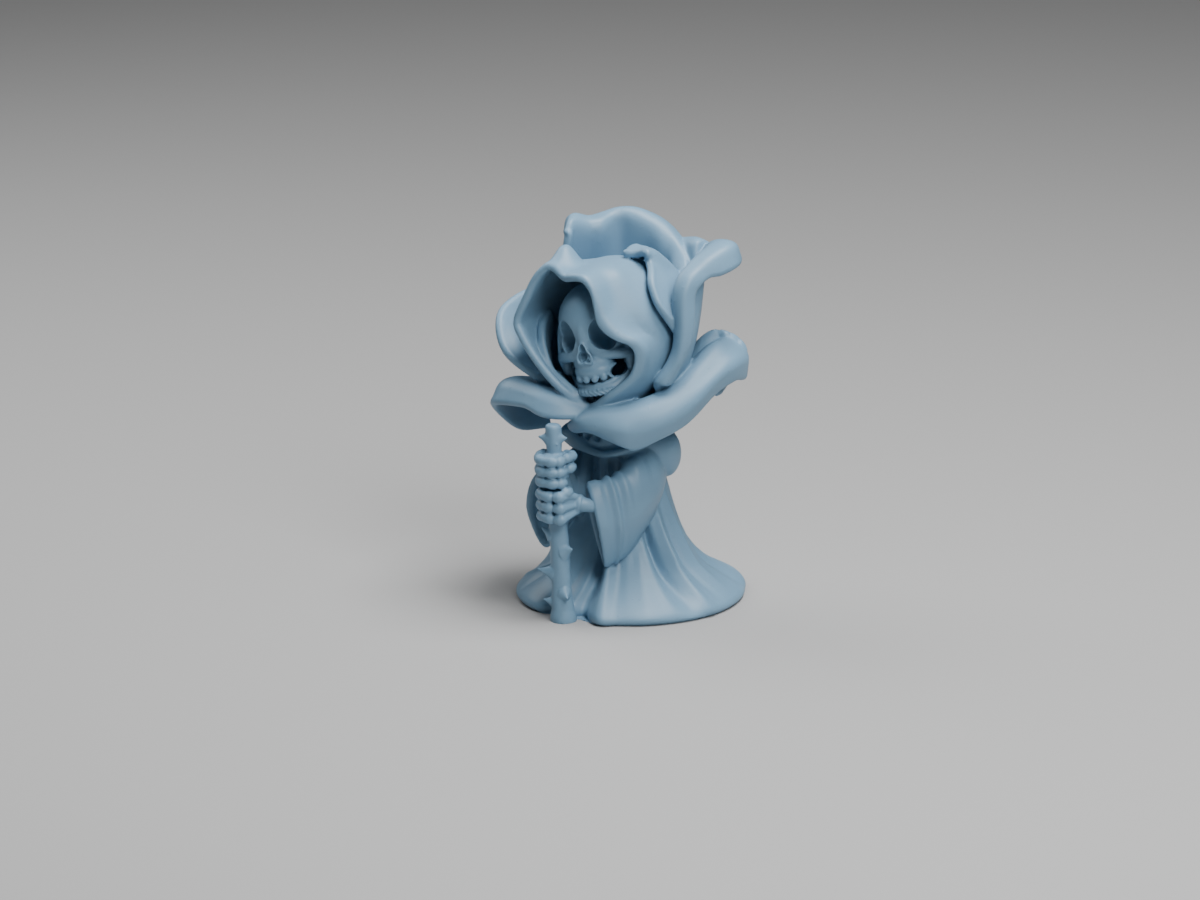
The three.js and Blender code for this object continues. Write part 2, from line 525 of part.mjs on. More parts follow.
function makeSkull() {
  const bones = [
    blob([0, 0, 1.8], [9, 9.6, 9.2], 10, 6), // brain case
    blob([0, -4.7, -1.2], [8.5, 5, 6], 9, 5), // brow and cheeks
    blob([0, -7.4, 0.6], [2.3, 2.4, 4.4], 6, 4), // bridge of the nose
    blob([0, -6.4, -5.6], [5.2, 4.2, 3.4], 8, 4), // upper jaw
  ];
  const jaw = [
    [-7.6, 0.4, -4], [-7.4, -3.2, -11.6], [-4.6, -7.8, -12.2], [0, -9.8, -12.2],
    [4.6, -7.8, -12.2], [7.4, -3.2, -11.6], [7.6, 0.4, -4],
  ];
  bones.push(limb(jaw, [1.2, 1.6, 1.7, 1.8, 1.7, 1.6, 1.2], 5, 6));
  const gum = [-78, -40, 0, 40, 78].map((bearing) => around(bearing, 4.6, -7.7, 0, -5.2));
  bones.push(limb(gum, [1.1, 1.4, 1.4, 1.4, 1.1], 5, 4));
  [-1, 1].forEach((side) => {
    // the cheekbone runs back from under the socket and drops at its end
    const cheek = [[3, -8, -4.6], [6, -7.2, -4.7], [8, -4.8, -5.2], [8, -3.8, -8.8]];
    const path = cheek.map(([x, y, z]) => [side * x, y, z]);
    bones.push(limb(path, [1.3, 1.5, 1.6, 1], 5, 3));
  });
  const { count, pitch, shift, arc, middleY, height, size } = skull.teeth;
  for (let i = 0; i < count; i++) {
    const bearing = shift + pitch * (i - (count - 1) / 2);
    bones.push(blob(around(bearing, arc, height, 0, middleY), size, 5, 3, bearing));
  }
  let made = bones.reduce((whole, bone) => whole.add(bone));
  [-1, 1].forEach((side) => {
    const [x, y, z] = skull.socket.centre;
    made = made.subtract(blob([side * x, y, z], skull.socket.radii, 8, 5, side * skull.socket.turn));
  });
  made = made.subtract(blob([0, -10.6, -3.2], [1.5, 3.2, 2.4], 6, 4)); // nose opening
  return placeSkull(made);
}

// The stem: a rose stalk with thorns, its foot on the floor
const stem = {
  foot: [-2.3, -25.2, 0],
  top: [-4.7, -26.2, 50.2],
  sides: 7,
  // height and radius
  radii: [
    [0, 3.3], [1.2, 3.2], [3, 2.9], [6, 2.6], [9, 2.45], [20, 2.35],
    [27, 2.25], [35, 2.1], [43, 1.85], [46, 2], [49.3, 2], [50.2, 1.4],
  ],
  // each thorn is a broad-based cone: its reach past the stem, half width, and the tip's rise
  thorns: [
    { up: 46.6, at: -60, reach: 1.9, wide: 1.5, rise: 0.1 },
    { up: 46.6, at: 104, reach: 1.6, wide: 1.4, rise: 0 },
    { up: 22.2, at: -62, reach: 2.5, wide: 1.4, rise: 1.2 },
    { up: 18.2, at: 76, reach: 2.4, wide: 2, rise: 0.5 },
    { up: 12.4, at: -58, reach: 3.7, wide: 1.7, rise: 0.7 },
    { up: 7, at: 50, reach: 2, wide: 1.7, rise: -0.4 },
    { up: 4.9, at: -60, reach: 2.2, wide: 1.2, rise: 0.3 },
  ],
};

function stemPoint(height) {
  return mix(stem.foot, stem.top, height / stem.top[2]);
}

function makeThorn({ up, at, reach, wide, rise }) {
  const [x, y] = stemPoint(up);
  const skin = 2.1; // about the stem's radius
  const rings = [[skin - 0.9, 1, 0], [skin + 0.3 * reach, 0.55, 0.2], [skin + reach, 0.1, 1]];
  const stations = rings.map(([out, share, lift]) =>
    Array.from({ length: 5 }, (_, j) => {
      const turn = (2 * Math.PI * j) / 5;
      const middle = around(at, out, up + rise * lift + Math.cos(turn) * share * wide, x, y);
      return add(middle, scale(around(at + 90, 1, 0), Math.sin(turn) * share * wide * 0.85));
    }),
  );
  return loft(stations);
}

function makeStem() {
  const rings = stem.radii.map(([height, radius]) => {
    const [x, y] = stemPoint(height);
    const bearings = Array.from({ length: stem.sides }, (_, j) => (360 * j) / stem.sides);
    return bearings.map((bearing) => around(bearing, radius, height, x, y));
  });
  return stem.thorns.reduce((made, thorn) => made.add(makeThorn(thorn)), loft(rings));
}

// A finger bent round the stem at one height: bearings of its joints from the stem's middle.
function finger(height, bearings, distances, radii) {
  const [x, y] = stemPoint(height);
  const path = bearings.map((bearing, i) => around(bearing, distances[i], height, x, y));
  return limb(path, radii, 5, bearings.length - 1);
}

// Each hand: its finger heights, where the knuckles lie (bearing and distance from the stem's
// middle), the wrist, and the arm that runs back into the sleeve
const hands = {
  upper: {
    heights: [41.5, 38.7, 35.9], knuckle: [-112, 4.6], wrist: [-9.6, -20.5, 36.4], spread: 0.2,
    arm: [[-10.5, -16, 32], [-10, -10, 28]],
    bearings: [-116, -72, -28, 16, 62], distances: [4.6, 4.1, 3.9, 3.8, 3.5],
  },
  lower: {
    heights: [32.7, 29.9, 27.1], knuckle: [42, 4.8], wrist: [1.2, -23.2, 30], spread: 0.42,
    arm: [[3.4, -21.4, 29.4], [8, -12, 27]],
    bearings: [42, 6, -32, -72, -112], distances: [4.8, 4.1, 4, 4, 2.9],
  },
};

function makeHands() {
  const bones = [];
  Object.values(hands).forEach((hand) => {
    const { heights, knuckle, wrist, spread, arm, bearings, distances } = hand;
    heights.forEach((height) => {
      const [x, y] = stemPoint(height);
      const swell = [1.1, 1, 1.08, 1, 0.85].map((share) => share * fingerRadius);
      bones.push(finger(height, bearings, distances, swell));
      const end = add(wrist, [0, 0, spread * (height - heights[1])]);
      bones.push(limb([around(...knuckle, height, x, y), end], [fingerRadius, 0.85], 4, 1));
    });
    bones.push(limb([wrist, ...arm], [1.9, 1.6, 1.8], 6, 2));
  });
  // thumbs
  bones.push(finger(42.2, [150, 112, 74], [3.4, 4.1, 3.8], [1.2, 1.4, 1.2]));
  bones.push(finger(33.6, [96, 76, 58], [3.4, 4.4, 4.6], [1.2, 1.3, 1.1]));
  return bones.reduce((whole, bone) => whole.add(bone));
}

// A sleeve: rings along the arm, each with its middle, half width, half height, the bearing the arm
// runs towards and how far its top leans that way. The mouth is hollowed by the last rows again.
function makeSleeve({ stations, mouth }) {
  const ringsOf = (rows, shrink) =>
    rows.map(([x, y, z, wide, high, bearing, lean]) => {
      const sideways = around(bearing + 90, 1, 0);
      const ahead = around(bearing, 1, 0);
      const ring = [];
      for (let j = 0; j < sleeveSides; j++) {
        const angle = (2 * Math.PI * j) / sleeveSides;
        // the hanging side narrows to a point
        const narrow = 1 + sleeveNarrowing * Math.min(0, Math.sin(angle));
        const across = scale(sideways, Math.cos(angle) * (wide - shrink) * narrow);
        const leaning = scale(ahead, Math.sin(angle) * lean);
        ring.push(add(add([x, y, z + Math.sin(angle) * (high - shrink)], across), leaning));
      }
      return ring;
    });
  const steps = 6;
  const outer = loft(ringsOf(Array.from({ length: steps + 1 }, (_, i) => along(stations, i / steps)), 0));
  return outer.subtract(loft(ringsOf(mouth, sleeveWall)));
}

const sleeves = {
  left: {
    stations: [
      [5, 2, 38, 4.5, 4.6, 130, 0], [8, -1.6, 33, 4.6, 8.6, 60, 0], [8.6, -7.4, 30.2, 4.9, 11.2, 0, 0],
      [6.8, -13, 25.4, 5, 11, -25, 0.8], [3.2, -18.6, 23.8, 4.4, 10.8, -45, 2.2],
    ],
    mouth: [
      [6.8, -13, 25.4, 3.4, 8.6, -25, 0.8], [3.2, -18.6, 23.8, 4.4, 10.8, -45, 2.2],
      [2.2, -19.8, 23.8, 4.8, 11.4, -45, 2.4],
    ],
  },
  right: {
    stations: [
      [-5, 2, 38, 4.5, 4.6, 230, 0], [-9.6, -1, 33, 5.4, 8, 280, 0], [-12, -7, 28.6, 5.8, 9.2, 0, 0],
      [-12.2, -13, 26.6, 5.4, 9.6, 10, 0], [-11.6, -18.6, 25.8, 4.8, 9.8, 20, 0],
    ],
    mouth: [
      [-12.2, -13, 26.6, 3.4, 7.4, 10, 0], [-11.6, -18.6, 25.8, 4.8, 9.8, 20, 0],
      [-11.2, -20, 25.8, 5.2, 10.4, 20, 0],
    ],
  },
};

// The robe's own cowl, thrown back: a thin collar at the throat that swells into a bag behind.
// Bearing, out and up about the rose's axis, half thickness and half height of its section.
const cowl = {
  sides: 6,
  count: 16,
  rows: [
    [11, 8.7, 39.3, 0.9, 1.4], [38, 9.2, 40.4, 0.9, 1.2], [62, 10.4, 40.4, 1.1, 1.6],
    [90, 11.4, 39.6, 2.4, 3.6],
    [120, 12.4, 38, 3.7, 5.8], [150, 12.6, 37.6, 4, 6.2], [180, 12.6, 37.4, 4, 6.4],
    [210, 12.2, 38, 3.7, 5.8], [245, 12, 41.2, 2.2, 3.6], [280, 12.6, 43.4, 1.2, 1.8],
    [302, 13.2, 43.4, 0.9, 1.4], [316, 11.4, 42.8, 0.9, 2.2], [340, 8.8, 40, 0.9, 1.7],
  ],
};

function makeCowl() {
  const { sides, count, rows } = cowl;
  const openRows = [...rows, [rows[0][0] + 360, ...rows[0].slice(1)]]; // bearings run on past 360
  const points = [];
  const faces = [];
  for (let i = 0; i < count; i++) {
    const [bearing, out, up, thick, tall] = along(openRows, i / count);
    for (let j = 0; j < sides; j++) {
      const angle = (2 * Math.PI * j) / sides;
      const [reach, height] = [out + Math.cos(angle) * thick, up + Math.sin(angle) * tall];
      points.push(around(bearing, reach, height, 0, roseAxisY));
      const [k, l] = [(i + 1) % count, (j + 1) % sides];
      faces.push([i * sides + j, k * sides + j, k * sides + l]);
      faces.push([i * sides + j, k * sides + l, i * sides + l]);
    }
  }
  return solid(points, faces);
}

function makeNeck() {
  const { height, radius, halfHeight } = calyx;
  const base = blob([0, roseAxisY, height], [radius, radius, halfHeight], 9, 4);
  const chest = blob([0.4, roseAxisY, 40.4], [9.8, 8.6, 3.2], 8, 4); // fills the collar
  const throat = limb([[0, -1, 36], [0, -2.5, 42], [0, roseAxisY, 49]], [6.5, 6.5, 6], 6, 2);
  const spine = limb([[-0.4, -9, 50], [-0.4, -9.4, 56], [-0.4, -8.6, 66]], [2.1, 1.9, 2.2], 5, 2);
  const shoulder = blob([6.6, -2.8, 36], [3.6, 5, 5.4], 6, 4);
  // fills the crook behind the left petals
  const crook = limb([[-7, -13.1, 53.2], [-10.7, -14.7, 58.4]], [2.7, 2.3], 6, 1);
  return base.add(chest).add(throat).add(spine).add(shoulder).add(crook);
}

// Bed of the print: everything stands on one flat plane
function cutFlat(body) {
  const under = new THREE.BoxGeometry(2 * layoutReach, 2 * layoutReach, layoutReach).toNonIndexed();
  under.translate(0, 0, -layoutReach / 2);
  return body.subtract(fromGeometry(under));
}

const pieces = [
  makeRobe(), makeSleeve(sleeves.left), makeSleeve(sleeves.right), makeCowl(), makeNeck(),
  makeHood(), makeSkull(), makeStem(), makeHands(), ...Object.values(petals).map(makePetal),
];
const whole = cutFlat(pieces.reduce((body, piece) => body.add(piece)));

function meshOf(name, body, material) {
  const made = body.getMesh();
  const geometry = new THREE.BufferGeometry();
  geometry.setAttribute("position", new THREE.BufferAttribute(new Float32Array(made.vertProperties), 3));
  geometry.setIndex(new THREE.BufferAttribute(new Uint32Array(made.triVerts), 1));
  geometry.computeVertexNormals();
  const mesh = new THREE.Mesh(geometry, material);
  mesh.name = name;
  return mesh;
}

const printedPlastic = new THREE.MeshStandardMaterial({ color: 0x8aa6bf, roughness: 0.62, metalness: 0 });
const figurine = new THREE.Group();
figurine.name = "grim_reaper_figurine";
figurine.add(meshOf("reaper_figurine", whole, printedPlastic));

export default figurine;
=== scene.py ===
# Grim reaper figurine: a hooded skeleton whose hood is a rose, holding a thorny rose stem.
# Sizes are in millimetres until a finished mesh is scaled to metres.
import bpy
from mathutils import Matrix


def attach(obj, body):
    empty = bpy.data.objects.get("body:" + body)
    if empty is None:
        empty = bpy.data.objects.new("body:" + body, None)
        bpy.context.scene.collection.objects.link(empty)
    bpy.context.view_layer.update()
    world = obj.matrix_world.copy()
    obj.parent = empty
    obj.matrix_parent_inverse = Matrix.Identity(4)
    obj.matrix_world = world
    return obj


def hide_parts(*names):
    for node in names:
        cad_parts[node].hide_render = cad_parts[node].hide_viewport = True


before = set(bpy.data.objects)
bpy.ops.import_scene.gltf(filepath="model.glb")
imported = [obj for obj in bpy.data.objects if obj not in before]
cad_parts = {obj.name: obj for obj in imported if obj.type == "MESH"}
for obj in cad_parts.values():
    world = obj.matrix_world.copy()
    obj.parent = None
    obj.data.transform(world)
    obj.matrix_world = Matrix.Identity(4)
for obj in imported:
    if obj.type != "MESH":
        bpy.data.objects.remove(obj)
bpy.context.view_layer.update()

import math
import bpy
import numpy as np
from mathutils import Matrix, Vector

millimetre = 0.001
slopeStep = 1e-3  # step along a sheet over which its slope is measured
pathStep = 0.01  # the same along the path of a limb
borderInset = 0.02  # points this far inside a sheet show which way its border faces
edgeAngles = [45, 90, 135]  # where the half-round edge of a sheet has its points
squareCorners = [(-1, -1), (1, -1), (1, 1), (-1, 1)]


def unit(v):
    return v / np.maximum(np.linalg.norm(v, axis=-1, keepdims=True), 1e-9)


def smooth(t):
    c = np.clip(t, 0, 1)
    return c * c * (3 - 2 * c)


def hump(x, wide):  # 1 in the middle, a quarter at the half width
    return np.exp(-1.4 * (x / wide) ** 2)


def turnBetween(a, b):  # signed degrees from b to a
    return (a - b + 540) % 360 - 180


def between(a, b, c, d, w):  # a smooth step from b to c that heeds their neighbours
    start = (c - a) / 2
    end = (d - b) / 2
    gap = b - c
    return b + w * (start + w * (-3 * gap - 2 * start - end + w * (2 * gap + start + end)))


def along(rows, t, closed=False):  # a smooth curve through rows of numbers, at each t from 0 to 1
    rows = np.asarray(rows, float)
    t = np.asarray(t, float)
    count = len(rows)
    spans = count if closed else count - 1
    place = np.clip(t, 0, 1) * spans
    first = np.minimum(np.floor(place).astype(int), spans - 1)
    w = (place - first)[..., None]
    if closed:
        a, b, c, d = (rows[(first + k) % count] for k in (-1, 0, 1, 2))
    else:
        padded = np.vstack([2 * rows[0] - rows[1], rows, 2 * rows[-1] - rows[-2]])
        a, b, c, d = (padded[first + k] for k in (0, 1, 2, 3))
    return between(a, b, c, d, w)


def around(bearing, out, up, x=0, y=0):  # bearing 0 is the front, 90 the figure's left
    b = np.radians(bearing)
    return np.stack(np.broadcast_arrays(x + out * np.sin(b), y - out * np.cos(b), up), -1)


def mixed(a, b, w):
    return a + (b - a) * w


def quads(rows, columns, closed=False):  # faces of a grid of points numbered row by row
    wide = columns if closed else columns - 1
    i, j = np.meshgrid(np.arange(rows - 1), np.arange(wide), indexing="ij")
    k = (j + 1) % columns
    near = i * columns
    far = near + columns
    return np.stack([near + j, near + k, far + k, far + j], -1).reshape(-1, 4)


def loft(rings):  # a body through rings of equal count, both ends closed by a fan
    rings = np.asarray(rings, float)
    rows, count = rings.shape[:2]
    points = np.vstack([rings.reshape(-1, 3), rings[0].mean(0), rings[-1].mean(0)])
    faces = quads(rows, count, True).tolist()
    for row, middle in ((0, rows * count), (rows - 1, rows * count + 1)):
        for j in range(count):
            pair = [row * count + (j + 1) % count, row * count + j]
            faces.append((pair if row == 0 else pair[::-1]) + [middle])
    return points, faces


def blob(centre, radii, wide=40, high=24, tilt=None):
    polar = np.linspace(0, math.pi, high + 1)[1:-1, None]
    spin = np.linspace(0, 2 * math.pi, wide, endpoint=False)[None, :]
    rings = np.stack(np.broadcast_arrays(
        np.sin(polar) * np.cos(spin), np.sin(polar) * np.sin(spin), np.cos(polar)), -1) * radii
    points, faces = loft(rings)
    points[-2:] = [[0, 0, radii[2]], [0, 0, -radii[2]]]
    if tilt is not None:
        points = points @ np.asarray(tilt).T
    return points + centre, faces


def limb(path, radii, sides=20, steps=30, bumps=()):
    # a rounded bar along a path; bumps are (place from 0 to 1, half width, extra radius)
    roundOff = np.radians([80, 60, 40, 20])
    ends = len(roundOff)
    t = np.concatenate([np.zeros(ends), np.linspace(0, 1, steps + 1), np.ones(ends)])
    grow = np.concatenate([np.cos(roundOff), np.ones(steps + 1), np.cos(roundOff)[::-1]])
    push = np.concatenate([-np.sin(roundOff), np.zeros(steps + 1), np.sin(roundOff)[::-1]])
    radius = along([[r] for r in radii], t)[:, 0]
    for place, wide, extra in bumps:
        radius = radius + extra * hump(t - place, wide)
    centre = along(path, t)
    ahead = unit(along(path, np.minimum(1, t + pathStep)) - along(path, np.maximum(0, t - pathStep)))
    centre = centre + ahead * (push * radius)[:, None]
    side = np.array([1.0, 0, 0]) if abs(ahead[0][2]) > 0.8 else np.array([0, 0, 1.0])
    angle = np.linspace(0, 2 * math.pi, sides, endpoint=False)[:, None]
    rings = []
    for middle, forward, r in zip(centre, ahead, radius * grow):
        side = unit(side - forward * (side @ forward))
        rings.append(middle + r * (np.cos(angle) * side + np.sin(angle) * np.cross(forward, side)))
    return loft(rings)


def sheet(surface, across, up, thickness):
    # a sheet over surface(s, t) with a half-round edge; thickness may vary over (s, t)
    s, t = np.meshgrid(np.linspace(0, 1, across + 1), np.linspace(0, 1, up + 1))
    middle = surface(s, t)
    ds = surface(np.minimum(1, s + slopeStep), t) - surface(np.maximum(0, s - slopeStep), t)
    dt = surface(s, np.minimum(1, t + slopeStep)) - surface(s, np.maximum(0, t - slopeStep))
    normal = unit(np.cross(ds, dt)).reshape(-1, 3)
    depth = (thickness(s, t) / 2).reshape(-1, 1)
    count = middle.shape[0] * middle.shape[1]
    grid = np.arange(count).reshape(middle.shape[:2])
    border = np.concatenate([grid[0, :-1], grid[:-1, -1], grid[-1, :0:-1], grid[:0:-1, 0]])
    inset = surface(*(np.clip(at, borderInset, 1 - borderInset) for at in (s, t)))
    outward = unit(middle - inset).reshape(-1, 3)[border]
    flat = middle.reshape(-1, 3)
    points = [flat + normal * depth, flat - normal * depth]
    for angle in np.radians(edgeAngles):
        reach = np.cos(angle) * normal[border] + np.sin(angle) * outward
        points.append(flat[border] + depth[border] * reach)
    front = quads(*middle.shape[:2])
    faces = front.tolist() + (front[:, ::-1] + count).tolist()
    start = 2 * count
    edge = [start + k * len(border) + np.arange(len(border)) for k in range(len(edgeAngles))]
    rows = [border, *edge, border + count]
    for near, far in zip(rows, rows[1:]):
        faces += np.stack([near, far, np.roll(far, -1), np.roll(near, -1)], -1).tolist()
    return np.vstack(points), faces


def outwards(points, faces):  # turns an inside-out form round
    corners = np.array([face[:3] for face in faces])
    fourth = np.array([face[3] if len(face) > 3 else face[2] for face in faces])
    a, b, c = (points[corners[:, k]] for k in range(3))
    d = points[fourth]
    volume = np.einsum("ij,ij->", a, np.cross(b, c)) + np.einsum("ij,ij->", a, np.cross(c, d))
    return faces if volume > 0 else [face[::-1] for face in faces]


def linked(name, data):
    made = bpy.data.objects.new(name, data)
    bpy.context.scene.collection.objects.link(made)
    return made


def plainObject(name, shapes):
    points = []
    faces = []
    start = 0
    for shapePoints, shapeFaces in shapes:
        shapePoints = np.asarray(shapePoints)
        points.append(shapePoints)
        faces += [[k + start for k in face] for face in outwards(shapePoints, shapeFaces)]
        start += len(shapePoints)
    mesh = bpy.data.meshes.new(name)
    mesh.from_pydata(np.vstack(points).tolist(), [], faces)
    return linked(name, mesh)


def settle(made):  # modifiers are worked into a plain mesh
    bpy.context.view_layer.update()
    evaluated = made.evaluated_get(bpy.context.evaluated_depsgraph_get())
    mesh = bpy.data.meshes.new_from_object(evaluated)
    made.modifiers.clear()
    worn = made.data
    made.data = mesh
    bpy.data.meshes.remove(worn)
    return made


def joined(made, other, operation):
    change = made.modifiers.new("join", "BOOLEAN")
    change.object = other
    change.operation = operation
    change.solver = "MANIFOLD"
    settle(made)
    bpy.data.objects.remove(other)
    return made


def reskinned(made, voxel, passes):  # crossing forms grow into one skin, as one print is
    remesh = made.modifiers.new("oneSkin", "REMESH")
    remesh.mode = "VOXEL"
    remesh.voxel_size = voxel * 1
    soften = made.modifiers.new("soften", "SMOOTH")
    soften.factor = 0.5
    soften.iterations = passes
    return settle(made)


def triangleCount(made):
    return sum(len(polygon.vertices) - 2 for polygon in made.data.polygons)


def fused(name, shapes, voxel, passes, faceTarget, hollows=()):
    made = reskinned(plainObject(name, shapes), voxel, passes)
    if hollows:
        joined(made, reskinned(plainObject(name + "Hollows", hollows), voxel, 1), "DIFFERENCE")
        reskinned(made, voxel, passes)
    grown = triangleCount(made)
    if grown > faceTarget:
        thin = made.modifiers.new("thin", "DECIMATE")
        thin.ratio = faceTarget / grown
        settle(made)
    print(name, "skin", grown, "triangles, kept", triangleCount(made))
    return made


class Value:  # wraps a socket, so that shader maths reads as Python
    def __init__(self, nodes, socket):
        self.nodes = nodes
        self.socket = socket

    def maths(self, operation, *others):
        return self.nodes.node("ShaderNodeMath", {"operation": operation}, [self, *others])

    def __add__(self, other):
        return self.maths("ADD", other)

    def __sub__(self, other):
        return self.maths("SUBTRACT", other)

    def __mul__(self, other):
        return self.maths("MULTIPLY", other)

    def __rsub__(self, other):
        return self.nodes.node("ShaderNodeMath", {"operation": "SUBTRACT"}, [other, self])

    __radd__ = __add__
    __rmul__ = __mul__


class Nodes:
    def __init__(self, name):
        self.material = bpy.data.materials.new(name)
        self.material.use_nodes = True
        self.tree = self.material.node_tree
        self.shader = self.tree.nodes["Principled BSDF"]

    def put(self, socket, value):
        if isinstance(value, Value):
            self.tree.links.new(value.socket, socket)
        else:
            socket.default_value = value

    def node(self, kind, settings, values, output=0):
        made = self.tree.nodes.new(kind)
        for key, value in settings.items():
            setattr(made, key, value)
        pairs = values.items() if isinstance(values, dict) else enumerate(values)
        for key, value in pairs:
            self.put(made.inputs[key], value)
        return Value(self, made.outputs[output])


plastic = {
    "colour": (0.140, 0.262, 0.380, 1),
    "paleColour": (0.172, 0.304, 0.426, 1),
    "toneShares": (0.6, 0.4),  # of the cloud and of the bands, in the mix of the two colours
    "roughness": 0.46,
    "roughnessSwing": 0.08,
    "specular": 0.45,
    "layer": 0.2 * millimetre,
    # scale, detail and roughness of each noise
    "cloud": (90, 3, 0.6),
    "grain": (2600, 2, 0.5),
    "bands": (900, 3, 0.5),
    "specks": (620, 1, 0.5),
    # where the noise of the specks breaks the surface, how steeply, and how high at most
    "speckRise": (0.7, 30, 2),
    # share of each pattern in the height
    "beadHeight": 0.22,
    "bandHeight": 1.2,
    "grainHeight": 0.5,
    "speckHeight": 1.5,
    "bumpStrength": 0.35,
    "bumpDistance": 0.04 * millimetre,
}


def printedPlastic():
    nodes = Nodes("printedPlastic")
    place = nodes.node("ShaderNodeTexCoord", {}, {}, "Object")
    up = nodes.node("ShaderNodeSeparateXYZ", {}, [place], "Z")
    level = nodes.node("ShaderNodeCombineXYZ", {}, {"Z": up})  # the same all along one layer

    def noise(key, vector=place):
        scale, detail, roughness = plastic[key]
        values = {"Vector": vector, "Scale": scale, "Detail": detail, "Roughness": roughness}
        return nodes.node("ShaderNodeTexNoise", {}, values, "Fac")

    cloud = noise("cloud")
    bands = noise("bands", level)
    cloudShare, bandShare = plastic["toneShares"]
    factor = cloud * cloudShare + bands * bandShare
    colours = {"Factor": factor, "A": plastic["colour"], "B": plastic["paleColour"]}
    tone = nodes.node("ShaderNodeMix", {"data_type": "RGBA"}, colours, "Result")
    # each layer is a rounded bead: its height rises and falls once a layer
    bead = (up * (2 * math.pi / plastic["layer"])).maths("SINE")
    # small beads of plastic stand here and there on the skin
    breaks, steep, most = plastic["speckRise"]
    speck = ((noise("specks") - breaks) * steep).maths("MAXIMUM", 0).maths("MINIMUM", most)
    height = bead * plastic["beadHeight"] + bands * plastic["bandHeight"]
    height = height + noise("grain") * plastic["grainHeight"] + speck * plastic["speckHeight"]
    relief = {"Strength": plastic["bumpStrength"], "Distance": plastic["bumpDistance"], "Height": height}
    swing = plastic["roughnessSwing"]
    nodes.put(nodes.shader.inputs["Base Color"], tone)
    nodes.put(nodes.shader.inputs["Roughness"], cloud * swing + (plastic["roughness"] - swing / 2))
    nodes.put(nodes.shader.inputs["Normal"], nodes.node("ShaderNodeBump", {}, relief, "Normal"))
    nodes.shader.inputs["Specular IOR Level"].default_value = plastic["specular"]
    return nodes.material


plasticFinish = printedPlastic()


def repeatTree():
    # sets one shape on every point of a mesh, each turned and stretched by the point's own values
    tree = bpy.data.node_groups.new("setOnPoints", "GeometryNodeTree")
    face = tree.interface
    kinds = {
        "Points": "NodeSocketGeometry", "Shape": "NodeSocketObject",
        "Size": "NodeSocketFloat", "Finish": "NodeSocketMaterial"}
    sockets = {}
    for name, kind in kinds.items():
        sockets[name] = face.new_socket(name, in_out="INPUT", socket_type=kind)
    face.new_socket("Geometry", in_out="OUTPUT", socket_type="NodeSocketGeometry")
    nodes = {}
    for name, kind in (
            ("start", "NodeGroupInput"), ("end", "NodeGroupOutput"),
            ("shape", "GeometryNodeObjectInfo"), ("turn", "GeometryNodeInputNamedAttribute"),
            ("stretch", "GeometryNodeInputNamedAttribute"), ("rotation", "FunctionNodeEulerToRotation"),
            ("size", "ShaderNodeVectorMath"), ("lay", "GeometryNodeInstanceOnPoints"),
            ("realize", "GeometryNodeRealizeInstances"), ("finish", "GeometryNodeSetMaterial")):
        nodes[name] = tree.nodes.new(kind)
    for name in ("turn", "stretch"):
        nodes[name].data_type = "FLOAT_VECTOR"
        nodes[name].inputs["Name"].default_value = name
    nodes["size"].operation = "SCALE"
    for source, output, target, socket in (
            ("start", "Shape", "shape", "Object"), ("start", "Points", "lay", "Points"),
            ("shape", "Geometry", "lay", "Instance"), ("turn", "Attribute", "rotation", "Euler"),
            ("rotation", "Rotation", "lay", "Rotation"), ("stretch", "Attribute", "size", 0),
            ("start", "Size", "size", "Scale"), ("size", "Vector", "lay", "Scale"),
            ("lay", "Instances", "realize", "Geometry"), ("realize", "Geometry", "finish", "Geometry"),
            ("start", "Finish", "finish", "Material"), ("finish", "Geometry", "end", "Geometry")):
        tree.links.new(nodes[source].outputs[output], nodes[target].inputs[socket])
    return tree, {name: socket.identifier for name, socket in sockets.items()}


setOnPoints, setOnPointsInputs = repeatTree()


def repeated(name, shape, places):  # places are (point, turn, stretch)
    shapeObject = plainObject(name + "Shape", [shape])
    mesh = bpy.data.meshes.new(name)
    mesh.from_pydata([[float(v) for v in place[0]] for place in places], [], [])
    for key, column in (("turn", 1), ("stretch", 2)):
        values = np.array([place[column] for place in places], float).ravel()
        mesh.attributes.new(key, "FLOAT_VECTOR", "POINT").data.foreach_set("vector", values)
    made = linked(name, mesh)
    laid = made.modifiers.new("setOnPoints", "NODES")
    laid.node_group = setOnPoints
    laid[setOnPointsInputs["Shape"]] = shapeObject
    laid[setOnPointsInputs["Size"]] = 1.0
    laid[setOnPointsInputs["Finish"]] = plasticFinish
    settle(made)
    points = np.array([vertex.co for vertex in made.data.vertices])
    faces = [list(polygon.vertices) for polygon in made.data.polygons]
    bpy.data.objects.remove(made)
    bpy.data.objects.remove(shapeObject)
    return points, faces


